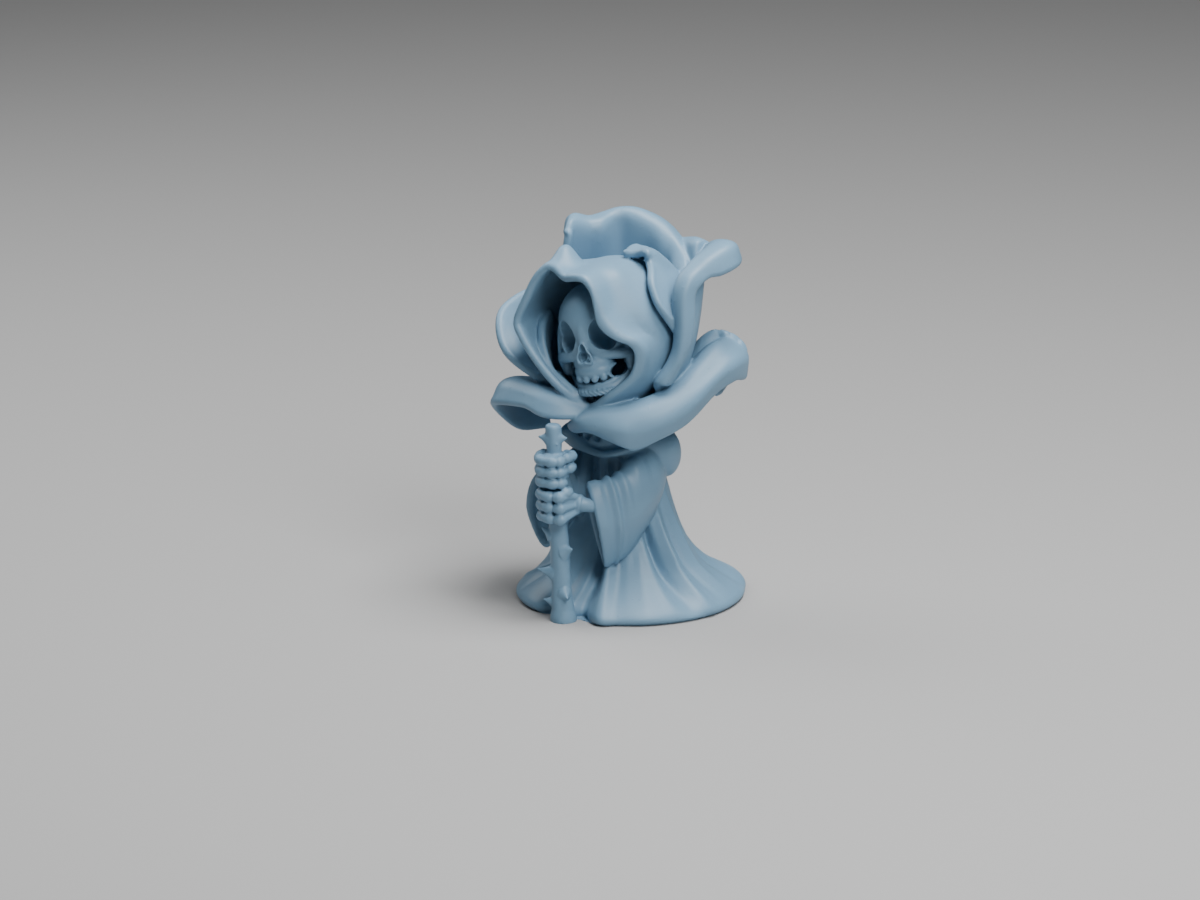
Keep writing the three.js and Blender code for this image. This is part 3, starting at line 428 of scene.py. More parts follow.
robe = {
    "centre": (0, 2),
    "rings": (150, 480),  # up the robe, round it
    # height, radius of the plain bell
    "profile": [
        [-1.5, 26.4], [0, 26.8], [0.9, 27.8], [2.4, 27.3], [4.4, 25], [7.2, 21.2], [10.5, 17.6],
        [14.5, 15.2], [19.5, 12.9], [25.5, 10.8], [32, 9], [38, 8.2], [43, 6.4]],
    # bearing at the floor, half width, swing in degrees for each mm of height, then height and reach
    "folds": [
        (2, 9, 0, [[0, -5.4], [10, -4.2], [22, -2.5], [34, 0]]),
        (-15, 8, 0, [[0, -3.6], [8, -2.2], [16, 0]]),
        (-3, 3, 0, [[0, 1.0], [10, 1.2], [22, 0.9], [32, 0]]),
        (18, 6, -0.35, [[0, 1.2], [8, 2.6], [16, 2.4], [28, 0]]),
        (40, 12, 0, [[0, 0.2], [8, 1.2], [18, 0.6], [26, 0]]),
        (24, 4, 0, [[2, 0], [6, -0.25], [12, -0.3], [18, 0]]),
        (36, 5, 0, [[2, 0], [6, -0.3], [13, -0.4], [20, 0]]),
        (58, 4.5, -0.6, [[2, 0], [7, 0.7], [14, 1.0], [24, 0.6], [32, 0]]),
        (69, 6.5, -0.85, [[1, 0], [4, -1.4], [8, -3.2], [16, -4.0], [26, -2.2], [34, 0]]),
        (80, 5, -0.5, [[1, 0.3], [6, 1.6], [14, 1.9], [26, 0.9], [36, 0]]),
        (92, 4, -0.5, [[2, 0], [6, -0.9], [14, -1.2], [24, -0.6], [30, 0]]),
        (104, 6, -0.3, [[2, 0], [8, 0.9], [18, 1.0], [30, 0]]),
        (172, 46, 0, [[0, 6], [3, 5], [8, 1.5], [14, 0]]),
        (128, 8, 0, [[0, 0], [5, -1.2], [14, -1.2], [28, 0]]),
        (150, 7, 0, [[4, 0], [10, 0.7], [20, 0.5], [28, 0]]),
        (205, 9, 0, [[0, 0], [6, -1.4], [16, -1.2], [28, 0]]),
        (228, 8, 0, [[4, 0], [10, 0.8], [20, 0.5], [28, 0]]),
        (-36, 11, 0, [[0, 0], [6, 0.8], [14, 3.4], [24, 2], [32, 0]]),
        (-66, 22, 0, [[0, 0.4], [6, 1.2], [14, 4], [24, 3.6], [40, 0]]),
        (-52, 4, 0.6, [[2, 0], [6, -0.9], [12, -0.8], [20, 0]]),
        (-86, 3.5, 4, [[3, 0], [5.5, 0.9], [11, 0.7], [15, 0]]),
        (-100, 9, 0, [[0, 0], [6, -1.2], [16, -1], [28, 0]]),
        (4, 46, 0, [[28, 0], [34, 2], [39, 3.4], [43, 3.4]]),
        (-10, 3.4, 0, [[22, 0], [28, 0.7], [37, 0.6], [41, 0]]),
        (4, 3.4, 0, [[22, 0], [28, 0.7], [37, 0.7], [41, 0]]),
        (18, 3.4, 0, [[22, 0], [28, 0.6], [37, 0.6], [41, 0]]),
        (32, 3.4, 0, [[22, 0], [28, 0.6], [37, 0.5], [41, 0]])],
}


def makeRobe():
    rows, columns = robe["rings"]
    height, plain = along(robe["profile"], np.linspace(0, 1, rows)).T
    bearing = np.linspace(0, 360, columns, endpoint=False)[None, :]
    height = height[:, None]
    radius = plain[:, None] + np.zeros_like(bearing)
    for at, wide, swing, reach in robe["folds"]:
        ups, outs = np.array(reach, float).T
        outs = np.interp(height, ups, outs) * (height >= ups[0])
        radius = radius + hump(turnBetween(bearing, at + swing * height), wide) * outs
    return loft(around(bearing, radius, height, *robe["centre"]))


# Each petal is a net: its ribs run from the foot to the lip. The first row is the part near the foot
# that all its ribs share. A rib starts with its bearing, and each point gives how far out it lies from
# the rose's axis and its height, after its own bearing where that is another.
roseAxisY = -4
petals = {
    "lowerRight": [
        [(6, 47.5)],
        (-12, (8, 50.5), (-11.8, 15, 48.9), (-9.8, 16.8, 48.8), (-8.6, 15.6, 47.7), (-8.3, 13.3, 47.5)),
        (-4, (9.5, 51), (2.2, 15.3, 52.1), (4.3, 18.4, 51.1), (7.5, 18.7, 49.3), (9.5, 16.6, 48.6)),
        (10, (10.5, 51.5), (18, 14.8, 53.6), (19.5, 18.8, 52.7), (21.9, 20.2, 50), (23.7, 18.8, 47.8)),
        (26, (11, 52), (35.5, 14.9, 54.3), (35.4, 19.4, 53.2), (35.7, 21.4, 49.8), (36.6, 20.2, 46.2)),
        (42, (11, 52), (50, 15.8, 55.1), (47.4, 20.2, 54), (45.7, 21.6, 49.5), (44.9, 19.8, 45.2)),
        (58, (11.5, 52.5), (64.9, 17.3, 56.6), (61.9, 21.3, 55.2),
         (60.5, 22.8, 51.3), (60.6, 20.9, 47.5)),
        (74, (12.5, 53), (79.9, 19.4, 58.8), (78.9, 23.1, 57.2), (79.5, 24.3, 54.5), (80.8, 22.5, 50.7)),
        (90, (14, 55), (96.8, 21.1, 62.7), (95.8, 24.9, 60.9), (97.5, 26.5, 59.8), (100.1, 25.4, 56.5)),
        (104, (15, 57), (114.5, 23.1, 66.2), (111.5, 27.3, 64.6), (112, 29.8, 62.6), (113, 29.2, 59)),
        (118, (15.5, 58), (131, 25.7, 65.8), (128.9, 29.3, 65.5), (127.4, 32, 62.5), (126.3, 31.4, 57.9)),
        (130, (15.5, 57), (136, 23, 66.8), (132, 27.6, 67.4), (30.4, 65.4), (129, 29.3, 61.7)),
        (144, (14, 55), (148, 18.6, 60.2), (148, 22.6, 61.8), (147, 25.2, 61.4), (146, 25.3, 59.3)),
    ],
    "lowerLeft": [
        [(6, 47.5)],
        (10, (7.4, 50.6), (8.9, 51.5), (10.9, 51.3), (11.9, 51.5)),
        (-18, (11.3, 53), (16.7, 55.3), (20.2, 54.6), (21.7, 51.9)),
        (-38, (12.7, 53.8), (20, 56.6), (23.2, 55.9), (24.5, 53.3)),
        (-60, (14.4, 53.9), (23, 56.8), (28.2, 55.7), (30.4, 51.1)),
        (-80, (13.8, 52.7), (22, 54.8), (27.6, 52.3), (26.7, 43)),
        (-98, (12.1, 50.3), (19, 51), (23.5, 48.7), (22.7, 41.9)),
    ],
    "leftMiddle": [
        [(7, 48.5)],
        (-44, (11.4, 52.2), (15.5, 56.3), (17.6, 57.9), (19.8, 58.9)),
        (-60, (14.2, 54), (20, 60), (23.2, 62.6), (27.5, 64.3)),
        (-74, (16.4, 56.3), (23.5, 65), (26.4, 68.1), (30.2, 70.9)),
        (-90, (16.4, 57.3), (23.5, 67), (26, 70.6), (29, 74.3)),
        (-108, (15.5, 57.3), (22, 67), (24.5, 70.7), (27.5, 74.7)),
        (-126, (13.6, 55.4), (19, 63), (21, 66), (23, 69.3)),
    ],
    "backLeft": [
        [(6, 47.5)],
        (-98, (11, 50.8), (17, 53), (20.9, 53.5), (25, 53)),
        (-122, (13.8, 53.2), (22, 57), (26, 57.1), (30, 54.5)),
        (-150, (14.4, 53.8), (23, 58), (27.5, 57.2), (31, 51)),
        (-176, (12.7, 52.6), (20, 56), (24.1, 55), (27, 49)),
    ],
    "backRight": [
        [(6, 47.5)],
        (122, (11.6, 52), (18, 55), (21.4, 55.3), (25, 54)),
        (146, (13.8, 55), (22, 60), (25.9, 60.1), (30, 57)),
        (172, (14.1, 55.6), (22.5, 61), (26.8, 60.6), (30.5, 55)),
        (200, (12.1, 53.2), (19, 57), (22.8, 56.5), (26, 52)),
    ],
    "innerLeft": [
        [(8, 50.5)],
        (-6, (11.8, 52.2), (13, 54.5), (13.4, 55.2), (14.8, 56)),
        (-22, (13, 53), (14.6, 56.5), (15.1, 57.7), (16.6, 59.2)),
        (-36, (14, 53.9), (16, 58.5), (16.5, 59.9), (17.9, 61.8)),
        (-45, (15, 55.4), (17.4, 62), (17.8, 63.8), (18.8, 66.4)),
        (-56, (15, 56.7), (17.4, 65), (17.7, 67.3), (18.6, 70.6)),
        (-74, (14.6, 57.1), (16.8, 66), (17, 68.8), (17.6, 73)),
    ],
    "topBack": [
        [(7, 50), (15.2, 60), (17.4, 73)],
        (268.9, (273.8, 13.8, 91), (14.6, 92.7), (264.5, 15.2, 92.6)),
        (255.4, (265.2, 14.2, 92.3), (15.8, 95.7), (251.5, 17.8, 94.9)),
        (237.4, (243.8, 13.5, 91.5), (16, 94.6), (233.2, 20.4, 93)),
        (223.9, (228.2, 13, 91.5), (16.4, 95.1), (222, 20.8, 93.7)),
        (210.7, (211.4, 16.4, 90.7), (17, 96), (211, 22, 94.6)),
        (197.6, (195.4, 15.9, 90.8), (17.6, 96), (198.9, 22.6, 94.6)),
        (185.1, (182.3, 15.9, 89.8), (17.9, 94.7), (186.8, 22.6, 93.4)),
        (172.3, (169.4, 15.9, 87.8), (18.2, 92.7), (175.4, 22.4, 91.2)),
        (159.2, (158, 16.4, 84.6), (18.2, 89.5), (163, 21.4, 88.4)),
        (146.3, (146.7, 15.5, 82.2), (18.2, 86.5), (150.9, 20.7, 85.1)),
        (134.1, (138.8, 15.5, 79.9), (16.7, 83.4), (137.6, 18.6, 83.3)),
    ],
    "right": [
        [(7, 49.4)],
        (72, (12, 53), (74, 15.5, 56.5), (66.3, 17.5, 59.7), (66.6, 20, 60.7), (72.3, 20.3, 60.7)),
        (80, (13.5, 54), (18.5, 61), (76.1, 19.8, 67.1), (74.3, 22.5, 66.9), (79.6, 22.5, 68.1)),
        (88, (15, 56), (86, 20.6, 67), (78.9, 20.2, 73.4), (77.1, 22.9, 74.1), (83, 23.2, 73.9)),
        (94, (16.5, 58), (92, 21.4, 72), (80.3, 19.2, 80.7), (78.7, 22.2, 81.6), (85.3, 22.8, 81.7)),
        (99, (17, 60), (97, 21.6, 77), (85.9, 19.2, 85.2), (83.5, 22.2, 85.6), (89.3, 23.3, 84.5)),
        (104, (17.5, 62), (102, 21.6, 80.5), (96.6, 19.8, 87.8), (93.3, 22.9, 88), (96.6, 24.5, 86.3)),
        (109, (17.6, 63), (107, 21.4, 83), (108.2, 21, 89.7), (103.3, 24.9, 90.3), (103.5, 26.8, 86.8)),
        (114, (17.6, 64), (113, 21, 84.5), (120.8, 23.1, 91.1), (115.9, 28.3, 92), (113.2, 29.5, 87.8)),
        (120, (17.6, 64), (20.6, 84), (133, 23.6, 90.3), (130.1, 28.4, 90.2), (127.8, 29.8, 87.6)),
        (128, (17.6, 64), (129, 20, 83), (146.8, 23.8, 88), (147.8, 27.6, 87.5), (146.5, 29, 85.4)),
        (142, (17.6, 64), (141, 19.6, 81), (143, 20.8, 89), (146, 22.8, 90), (147, 25, 88.6)),
        (156, (17.4, 63), (19.2, 80), (158, 20.2, 87.4), (158, 22.6, 89.6), (158, 25, 88.4)),
        (172, (17, 62), (18.6, 78), (174, 19.8, 85), (174, 22.2, 87.6), (174, 24.6, 86.2)),
        (188, (16.4, 60), (18, 76), (19.2, 81.6), (21.2, 84), (23.2, 82.6)),
    ],
    "innerRight": [
        [],
        (96.5, (18.7, 70.3), (87.7, 19.1, 71.5), (80.7, 19.5, 73), (77.8, 19.8, 73.9)),
        (101.1, (18.1, 75.1), (86.7, 18.3, 75.7), (76.3, 18.6, 76.4), (70.6, 18.7, 77.5)),
        (110.3, (16.7, 78.9), (88.2, 17.1, 79.1), (74.2, 17.2, 79.4), (66.8, 17.1, 80.7)),
        (131.1, (16.1, 81), (96.1, 15.2, 82.3), (77.6, 14.8, 83.4), (69.4, 13.9, 85)),
        (134.7, (14.7, 83.9), (112.1, 12.8, 85), (93.2, 11.1, 86.9), (88.7, 9.4, 88.3)),
        (126.8, (11.9, 87.1), (116.5, 10.5, 88.7), (102.3, 9.2, 90.3), (89.3, 8.7, 90.7)),
        (146.3, (9.7, 88.1), (137.2, 7.7, 89.8), (122, 6, 89.8), (98.6, 5.2, 89.8)),
        (165.3, (8.8, 87.3), (161.4, 6.3, 89.8), (146, 3.7, 89.8), (89.7, 2.8, 89.8)),
    ],
}
petalSheet = {
    "across": 120,
    "up": 80,
    "thickness": 1.7,
    "lipThickness": 0.5,  # added along the lip and the sides
    "lip": (0.86, 0.14),  # where the lip starts to thicken, and over how much of the rib
    "side": 0.05,
}


def makePetal(foot, *ribs):
    net = []
    for at, *points in ribs:
        net.append([point if len(point) == 3 else (at, *point) for point in [*foot, *points]])
    net = np.array(net, float)
    count, points = net.shape[:2]

    def surface(s, t):
        rib = along(net.reshape(count, -1), s).reshape(*s.shape, points, 3)
        place = t * (points - 1)
        first = np.minimum(np.floor(place).astype(int), points - 2)
        w = (place - first)[..., None]
        before = 2 * rib[..., :1, :] - rib[..., 1:2, :]
        after = 2 * rib[..., -1:, :] - rib[..., -2:-1, :]
        padded = np.concatenate([before, rib, after], -2)
        at = first[..., None, None]
        a, b, c, d = (np.take_along_axis(padded, at + k, -2)[..., 0, :] for k in range(4))
        bearing, out, up = np.moveaxis(between(a, b, c, d, w), -1, 0)
        return around(bearing, out, up, 0, roseAxisY)

    def thickness(s, t):
        lipStart, lipWide = petalSheet["lip"]
        lip = smooth((t - lipStart) / lipWide)
        side = smooth((petalSheet["side"] - np.minimum(s, 1 - s)) / petalSheet["side"])
        return petalSheet["thickness"] + petalSheet["lipThickness"] * np.maximum(lip, side)

    return sheet(surface, petalSheet["across"], petalSheet["up"], thickness)


hood = {
    "centre": np.array([0, roseAxisY, 70.0]),
    "radii": np.array([16.4, 16.2, 17.6]),
    "opening": -4,  # bearing that the opening faces
    "thickness": 1.8,
    "lip": (0.2, 0.1),  # extra half thickness at the rim, and how far back it reaches
    "rings": (80, 320),
    "backEnd": 0.985,  # where the last ring stands before the pole at the back
    "fallPower": 2.2,  # how sharply the pull of the rim fades behind it
    "rimInset": 0.03,
    # bearing, out and up of the rim, and how soon the wall behind it falls back to the bulb,
    # from the chin up the figure's right side, over and back down
    "rim": [
        [0, 14.2, 53.5, 1.6], [-18, 18.4, 58.5, 1.6], [-34, 21.6, 64.5, 1.6], [-44, 24.2, 70, 1.6],
        [-48, 24.9, 73.4, 1.6], [-45, 23, 79, 1.7], [-41, 20.8, 84.5, 2], [-35, 18.6, 87.6, 2.2],
        [-29, 17.6, 87.6, 2.4], [-22, 17.3, 86.8, 2.6], [-13, 17.6, 86.2, 2.6], [-5, 17.9, 86.8, 2.4],
        [5, 18, 86.8, 2.2], [12, 18, 84.4, 2], [15, 18.1, 81, 1.8], [18, 18.2, 77, 1.8],
        [24, 18.5, 74.4, 1.8], [32, 18.8, 72.6, 1.8], [41, 18.8, 71.4, 1.8], [46.5, 18.6, 69.2, 1.8],
        [47.5, 18.3, 66.2, 1.8], [44.5, 17.9, 62.9, 1.8], [37, 17.2, 60.2, 1.8], [26, 16.4, 57.4, 1.6],
        [13, 14.8, 54.4, 1.6]],
    # folds: the rim row they stand behind, half width in rows, v, half width in v, and which way
    # the wall is pushed there
    "folds": [
        (8.1, 1.6, 0.10, 0.07, (-1.3, 0.8, 4.4)),
        (15.0, 2.6, 0.02, 0.06, (0.9, -1.0, 0.2)),
        (18.5, 3.2, 0.02, 0.05, (1.0, -0.8, 0.3)),
        (13.0, 2.0, 0.20, 0.07, (0.4, -0.9, 0.3)),
        (17.0, 2.0, 0.16, 0.06, (-0.5, 0.6, -0.2))],
}


def hoodPoint(u, v):  # u runs round the rim, v from the rim to the back
    bearing, out, up, fall = np.moveaxis(along(hood["rim"], u % 1, True), -1, 0)
    rim = around(bearing, out, up, 0, roseAxisY)
    forward = around(hood["opening"], 1, 0)
    lateral = np.array([-forward[1], forward[0], 0])
    away = (rim - hood["centre"]) / hood["radii"]
    ahead = away @ forward
    sideways = away @ lateral
    spin = np.arctan2(away[..., 2], sideways)
    start = np.arctan2(np.hypot(sideways, away[..., 2]), ahead)

    def ball(polar):
        wide = np.sin(polar)[..., None]
        point = np.cos(polar)[..., None] * forward + wide * np.cos(spin)[..., None] * lateral
        point = point + wide * np.sin(spin)[..., None] * np.array([0, 0, 1])
        return hood["centre"] + point * hood["radii"]

    here = ball(start + (math.pi - start) * v)
    here = here + (rim - ball(start)) * (np.maximum(0, 1 - fall * v) ** hood["fallPower"])[..., None]
    count = len(hood["rim"])
    for row, rowsWide, depth, depthWide, push in hood["folds"]:
        apart = (u * count - row + count / 2) % count - count / 2
        here = here + (hump(apart, rowsWide) * hump(v - depth, depthWide))[..., None] * np.array(push)
    return here


def makeHood():
    rows, count = hood["rings"]
    v, u = np.meshgrid(np.linspace(0, hood["backEnd"], rows + 1), np.arange(count) / count, indexing="ij")
    middle = hoodPoint(u, v)
    du = hoodPoint(u + slopeStep, v) - hoodPoint(u - slopeStep, v)
    dv = hoodPoint(u, np.minimum(1, v + slopeStep)) - hoodPoint(u, np.maximum(0, v - slopeStep))
    normal = unit(np.cross(du, dv))
    lipExtra, lipWide = hood["lip"]
    half = hood["thickness"] / 2 + lipExtra * smooth(1 - v / lipWide)[..., None]
    outward = unit(middle[0] - hoodPoint(u[0], v[0] + hood["rimInset"]))
    rings = list((middle + normal * half)[::-1])
    for angle in np.radians(edgeAngles):
        rings.append(middle[0] + half[0] * (np.cos(angle) * normal[0] + np.sin(angle) * outward))
    rings += list(middle - normal * half)
    return loft(rings)


# stations: middle x, y, z, half width, half height, bearing the arm runs towards, lean of its top
sleeves = {
    "left": {
        "stations": [
            [5, 2, 38, 4.5, 4.6, 130, 0], [8, -1.6, 33, 4.6, 8.6, 60, 0],
            [8.6, -7.4, 30.2, 4.9, 11.2, 0, 0], [6.8, -13, 25.4, 5, 11, -25, 0.8],
            [3.2, -18.6, 23.8, 4.4, 10.8, -45, 2.2]],
        "mouth": [
            [3.2, -18.6, 23.8, 4.4, 10.8, -45, 2.2], [5, -15.8, 24.6, 4, 9.6, -35, 1.5],
            [6.8, -13, 25.4, 3.4, 8.6, -25, 0.8]]},
    "right": {
        "stations": [
            [-5, 2, 38, 4.5, 4.6, -130, 0], [-9.6, -1, 33, 5.4, 8, -80, 0],
            [-12, -7, 28.6, 5.8, 9.2, 0, 0], [-12.2, -13, 26.6, 5.4, 9.6, 10, 0],
            [-11.6, -18.6, 25.8, 4.8, 9.8, 20, 0]],
        "mouth": [
            [-11.6, -18.6, 25.8, 4.8, 9.8, 20, 0], [-11.9, -15.8, 26.2, 4.2, 8.6, 15, 0],
            [-12.2, -13, 26.6, 3.4, 7.4, 10, 0]]},
}
sleeveCuff = {
    "wall": 1.5,
    "hangNarrow": 0.4,  # share of its width that the hanging side loses
    "sides": 140,
    "steps": 110,
    "innerSteps": 23,
    "rimPush": 0.6,
    "hem": (2.3, 0.35, 0.5),  # width, height and fade of the turned-up band at the mouth
    # raised and sunk lines: distance from the mouth, half width, height, and the angle round the
    # arm from its top where they end
    "ridges": [
        (2.9, 0.35, -0.25, 400), (4.2, 0.6, 0.7, 400), (5.4, 0.6, -0.4, 150), (6.8, 0.8, 0.55, 110),
        (10.0, 1.2, 0.6, 80), (14, 1.4, -0.6, 100)],
    "ridgeFade": 60,
}


def sleeveRings(rows, shrink, dressed=False):
    angle = np.linspace(0, 2 * math.pi, sleeveCuff["sides"], endpoint=False)[None, :, None]
    rows = np.asarray(rows)
    middle = rows[:, None, :3]
    wide, high, lean = (rows[:, k][:, None, None] for k in (3, 4, 6))
    sideways = around(rows[:, 5] + 90, 1, 0)[:, None]
    ahead = around(rows[:, 5], 1, 0)[:, None]
    swell = np.zeros_like(angle * wide)
    if dressed:
        apart = np.abs(turnBetween(np.degrees(angle), 90))  # from the top of the arm
        toMouth = np.linalg.norm(rows[-1, :3] - rows[:, :3], axis=-1)[:, None, None]
        hemWide, hemHigh, hemFade = sleeveCuff["hem"]
        swell = swell + hemHigh * smooth((hemWide - toMouth) / hemFade)
        for distance, halfWidth, height, ends in sleeveCuff["ridges"]:
            line = height * hump(toMouth - distance, halfWidth)
            swell = swell + line * smooth((ends - apart) / sleeveCuff["ridgeFade"])
    narrow = 1 + sleeveCuff["hangNarrow"] * np.minimum(0, np.sin(angle))
    across = np.cos(angle) * (wide - shrink + swell) * narrow * sideways
    lift = np.sin(angle) * ((high - shrink + swell) * np.array([0, 0, 1.0]) + lean * ahead)
    return middle + across + lift


def makeSleeve(stations, mouth):
    outer = sleeveRings(along(stations, np.linspace(0, 1, sleeveCuff["steps"] + 1)), 0, True)
    inner = sleeveRings(along(mouth, np.linspace(0, 1, sleeveCuff["innerSteps"] + 1)), sleeveCuff["wall"])
    forward = unit(outer[-1].mean(0) - outer[-4].mean(0))
    rim = (outer[-1] + inner[0]) / 2 + forward * sleeveCuff["rimPush"]
    return loft(np.concatenate([outer, rim[None], inner]))


cowl = {
    "rings": (240, 36),  # along it, round its section
    # bearing, out and up about the rose's axis, half thickness, half height: a thin collar in
    # front that swells into a bag behind
    "rows": [
        [11, 8.7, 40.2, 0.8, 0.95], [38, 9.2, 41.1, 0.8, 0.95], [58, 9.0, 41.9, 0.9, 1.1],
        [80, 8.8, 42, 1.2, 1.8], [104, 10.8, 39.8, 2.6, 4.2], [126, 12.3, 38, 3.7, 5.8],
        [150, 12.6, 37.6, 4, 6.2], [180, 12.6, 37.4, 4, 6.4], [210, 12.2, 38, 3.7, 5.8],
        [245, 12, 41.2, 2.2, 3.6], [280, 12.6, 43.4, 1.2, 1.8], [302, 13.2, 43.4, 0.9, 1.4],
        [316, 11.4, 42.8, 0.9, 2.2], [340, 8.8, 40.8, 0.8, 1.2], [371, 8.7, 40.2, 0.8, 0.95]],
}


def makeCowl():
    count, sides = cowl["rings"]
    rows = along(cowl["rows"], np.linspace(0, 1, count, endpoint=False))
    bearing, out, up, thick, tall = (rows[:, k][:, None] for k in range(5))
    angle = np.linspace(0, 2 * math.pi, sides, endpoint=False)[None, :]
    points = around(bearing, out + np.cos(angle) * thick, up + np.sin(angle) * tall, 0, roseAxisY)
    faces = quads(count + 1, sides, True) % (count * sides)
    return points.reshape(-1, 3), faces.tolist()


def makeNeck():
    return [
        blob([0, roseAxisY, 48.5], [9.6, 9.6, 6]),
        blob([0.4, roseAxisY, 41], [9.4, 8.2, 2.6]),  # fills the collar
        blob([-1.2, -7.6, 43], [6, 4.6, 3.6]),  # the breast inside it
        blob([-4.4, -8.4, 44.2], [3.2, 3.4, 3.6]),
        blob([-7.4, -8.4, 43.6], [2.2, 2.6, 2.4]),
        blob([6.8, -4.2, 35.4], [4.2, 6, 6.0]),  # shoulder
        limb([[0, -1, 36], [0, -2.5, 42], [0, roseAxisY, 49]], [6.5, 6.5, 6]),
        limb([[-7, -13.1, 53.2], [-10.7, -14.7, 58.4]], [2.7, 2.3]),  # crook behind the left petals
        # armpit
        limb([[-6.4, -4.6, 41], [-7, -6.6, 36], [-7.4, -9, 30], [-7.4, -10, 24]], [1.6, 2.1, 2.2, 1.6]),
        limb([[-0.4, -9, 50], [-0.4, -9.4, 56], [-0.4, -8.6, 66]], [2.0, 1.8, 2.1])]


breastPits = [blob([x, -12.2, 44.2], [1.2, 1.5, 1.2]) for x in (-3.8, -0.7)]


# Shapes are given in the skull's own frame, its face towards -Y, then rolled, nodded, turned and set.
skull = {
    "centre": [-0.6, -11.6, 72.5],
    "yaw": 7,
    "nod": 8,
    "roll": -11,
    # middle and radii; the bones that come singly
    "blobs": [
        ([0, 0, 2], [9.3, 9.8, 9.4]),  # brain case
        ([0, -4.8, -2.2], [8.2, 5.2, 5.6]),  # face
        ([0, -7.6, 0.4], [2.3, 2.7, 5.4]),  # bridge of the nose
        ([0, -6.2, -6.9], [5.2, 4.5, 3.8])],  # upper jaw
    # paths and radii; each comes on both sides
    "pairs": [
        # outer edge of the socket
        ([[7.4, -2.4, 4.4], [8.7, -3.2, 0.4], [9.2, -4.2, -4.4]], [0.8, 1.0, 1.2]),
        # cheekbone and its drop
        ([[2.0, -8.0, -4.6], [4.6, -7.5, -4.7], [7.3, -6.1, -5.2], [9.2, -4.4, -6.2], [8.9, -4.2, -9.6]],
         [1.3, 1.5, 1.6, 1.5, 1.2]),
        # branch of the lower jaw
        ([[7.6, 1.5, -4], [7.6, -1.4, -8], [7.2, -3.6, -11.2]], [1.2, 1.6, 1.5])],
    # each of the two pits that make a socket: middle, radii and turn
    "sockets": [([5.3, -9.0, 0.7], [3.3, 6.4, 4.0], 22), ([5.9, -8.2, -0.5], [2.8, 5.6, 3.1], 30)],
    # rim of the nose opening, one side, from the top down
    "noseRim": [
        [0, -10.3, -0.7], [1.0, -10.6, -2.4], [1.9, -10.7, -4.6], [1.5, -10.8, -5.9], [0, -11.0, -5.5]],
    "noseRimRadius": 0.42,
    "noseHollows": [
        ([0, -11.2, -2.7], [0.95, 3.4, 1.9]), ([0.8, -11.2, -4.4], [0.95, 3.2, 1.3]),
        ([-0.8, -11.2, -4.4], [0.95, 3.2, 1.3])],
    "gum": [(-84, 1.1), (-40, 1.3), (0, 1.35), (40, 1.3), (84, 1.1)],  # bearing and radius
    "gumArc": (4.6, -8.5, -5.3),  # out, up and middle y
    # height, rise of the ends, radius
    "jawBars": [(-12.2, 2.8, 0.75), (-13.3, 2.0, 1.0)],
    "jawFront": -9.5,
    "jawSide": [(2.7, -8.9, 0), (5.3, -6.9, 0.2), (7.5, -3.4, 1)],  # x, y and share of the rise
    "cheekHollow": ([6.0, -5.8, -9.8], [1.8, 4.2, 1.5]),
}
teeth = {
    "count": 6, "first": -61, "pitch": 25, "slant": 0,
    "arc": 5.2, "middleY": -5.3, "height": -10, "size": (0.98, 1, 1.15),
}
chinRidges = {
    "count": 13, "first": -60, "pitch": 9.8, "slant": -54,
    "arc": 7.1, "middleY": -3.4, "height": -13.8, "size": (0.36, 0.9, 1.45),
}


def placedSkull(shape):
    points, faces = shape
    place = Matrix.Identity(3)
    for key, axis in (("yaw", "Z"), ("nod", "X"), ("roll", "Y")):
        place = place @ Matrix.Rotation(math.radians(skull[key]), 3, axis)
    return points @ np.array(place).T + skull["centre"], faces


def mirrored(rows, side):
    return [[side * row[0], *row[1:]] for row in rows]


def ringOf(name, shape, spec):  # equal shapes on an arc about the jaw
    places = []
    for k in range(spec["count"]):
        bearing = spec["first"] + spec["pitch"] * k
        point = around(bearing, spec["arc"], spec["height"], 0, spec["middleY"])
        turn = (0, math.radians(spec["slant"]), math.radians(bearing))
        places.append((point, turn, spec["size"]))
    return repeated(name, shape, places)


def makeSkullBones():
    bones = [blob(middle, radii, 72, 48) for middle, radii in skull["blobs"]]
    for side in (-1, 1):
        bones += [limb(mirrored(path, side), radii, 24, 40) for path, radii in skull["pairs"]]
    for height, rise, radius in skull["jawBars"]:
        half = [[x, y, height + share * rise] for x, y, share in skull["jawSide"]]
        path = mirrored(half, -1)[::-1] + [[0, skull["jawFront"], height]] + half
        bones.append(limb(path, [radius] * len(path), 24, 60))
    out, up, middleY = skull["gumArc"]
    gum = [around(bearing, out, up, 0, middleY) for bearing, _ in skull["gum"]]
    bones.append(limb(gum, [radius for _, radius in skull["gum"]], 24, 40))
    rim = mirrored(skull["noseRim"], -1)[:0:-1] + skull["noseRim"]
    bones.append(limb(rim, [skull["noseRimRadius"]] * len(rim), 16, 60))
    bones.append(ringOf("teeth", blob([0, 0, 0], [1, 1, 1], 24, 16), teeth))
    bones.append(ringOf("chinRidges", blob([0, 0, 0], [1, 1, 1], 16, 10), chinRidges))
    return [placedSkull(bone) for bone in bones]


def makeSkullHollows():
    hollows = [blob(middle, radii) for middle, radii in skull["noseHollows"]]
    for side in (-1, 1):
        for middle, radii, degrees in skull["sockets"]:
            turn = np.array(Matrix.Rotation(math.radians(side * degrees), 3, "Z"))
            hollows.append(blob(mirrored([middle], side)[0], radii, 56, 40, turn))
        middle, radii = skull["cheekHollow"]
        hollows.append(blob(mirrored([middle], side)[0], radii))
    return [placedSkull(hollow) for hollow in hollows]


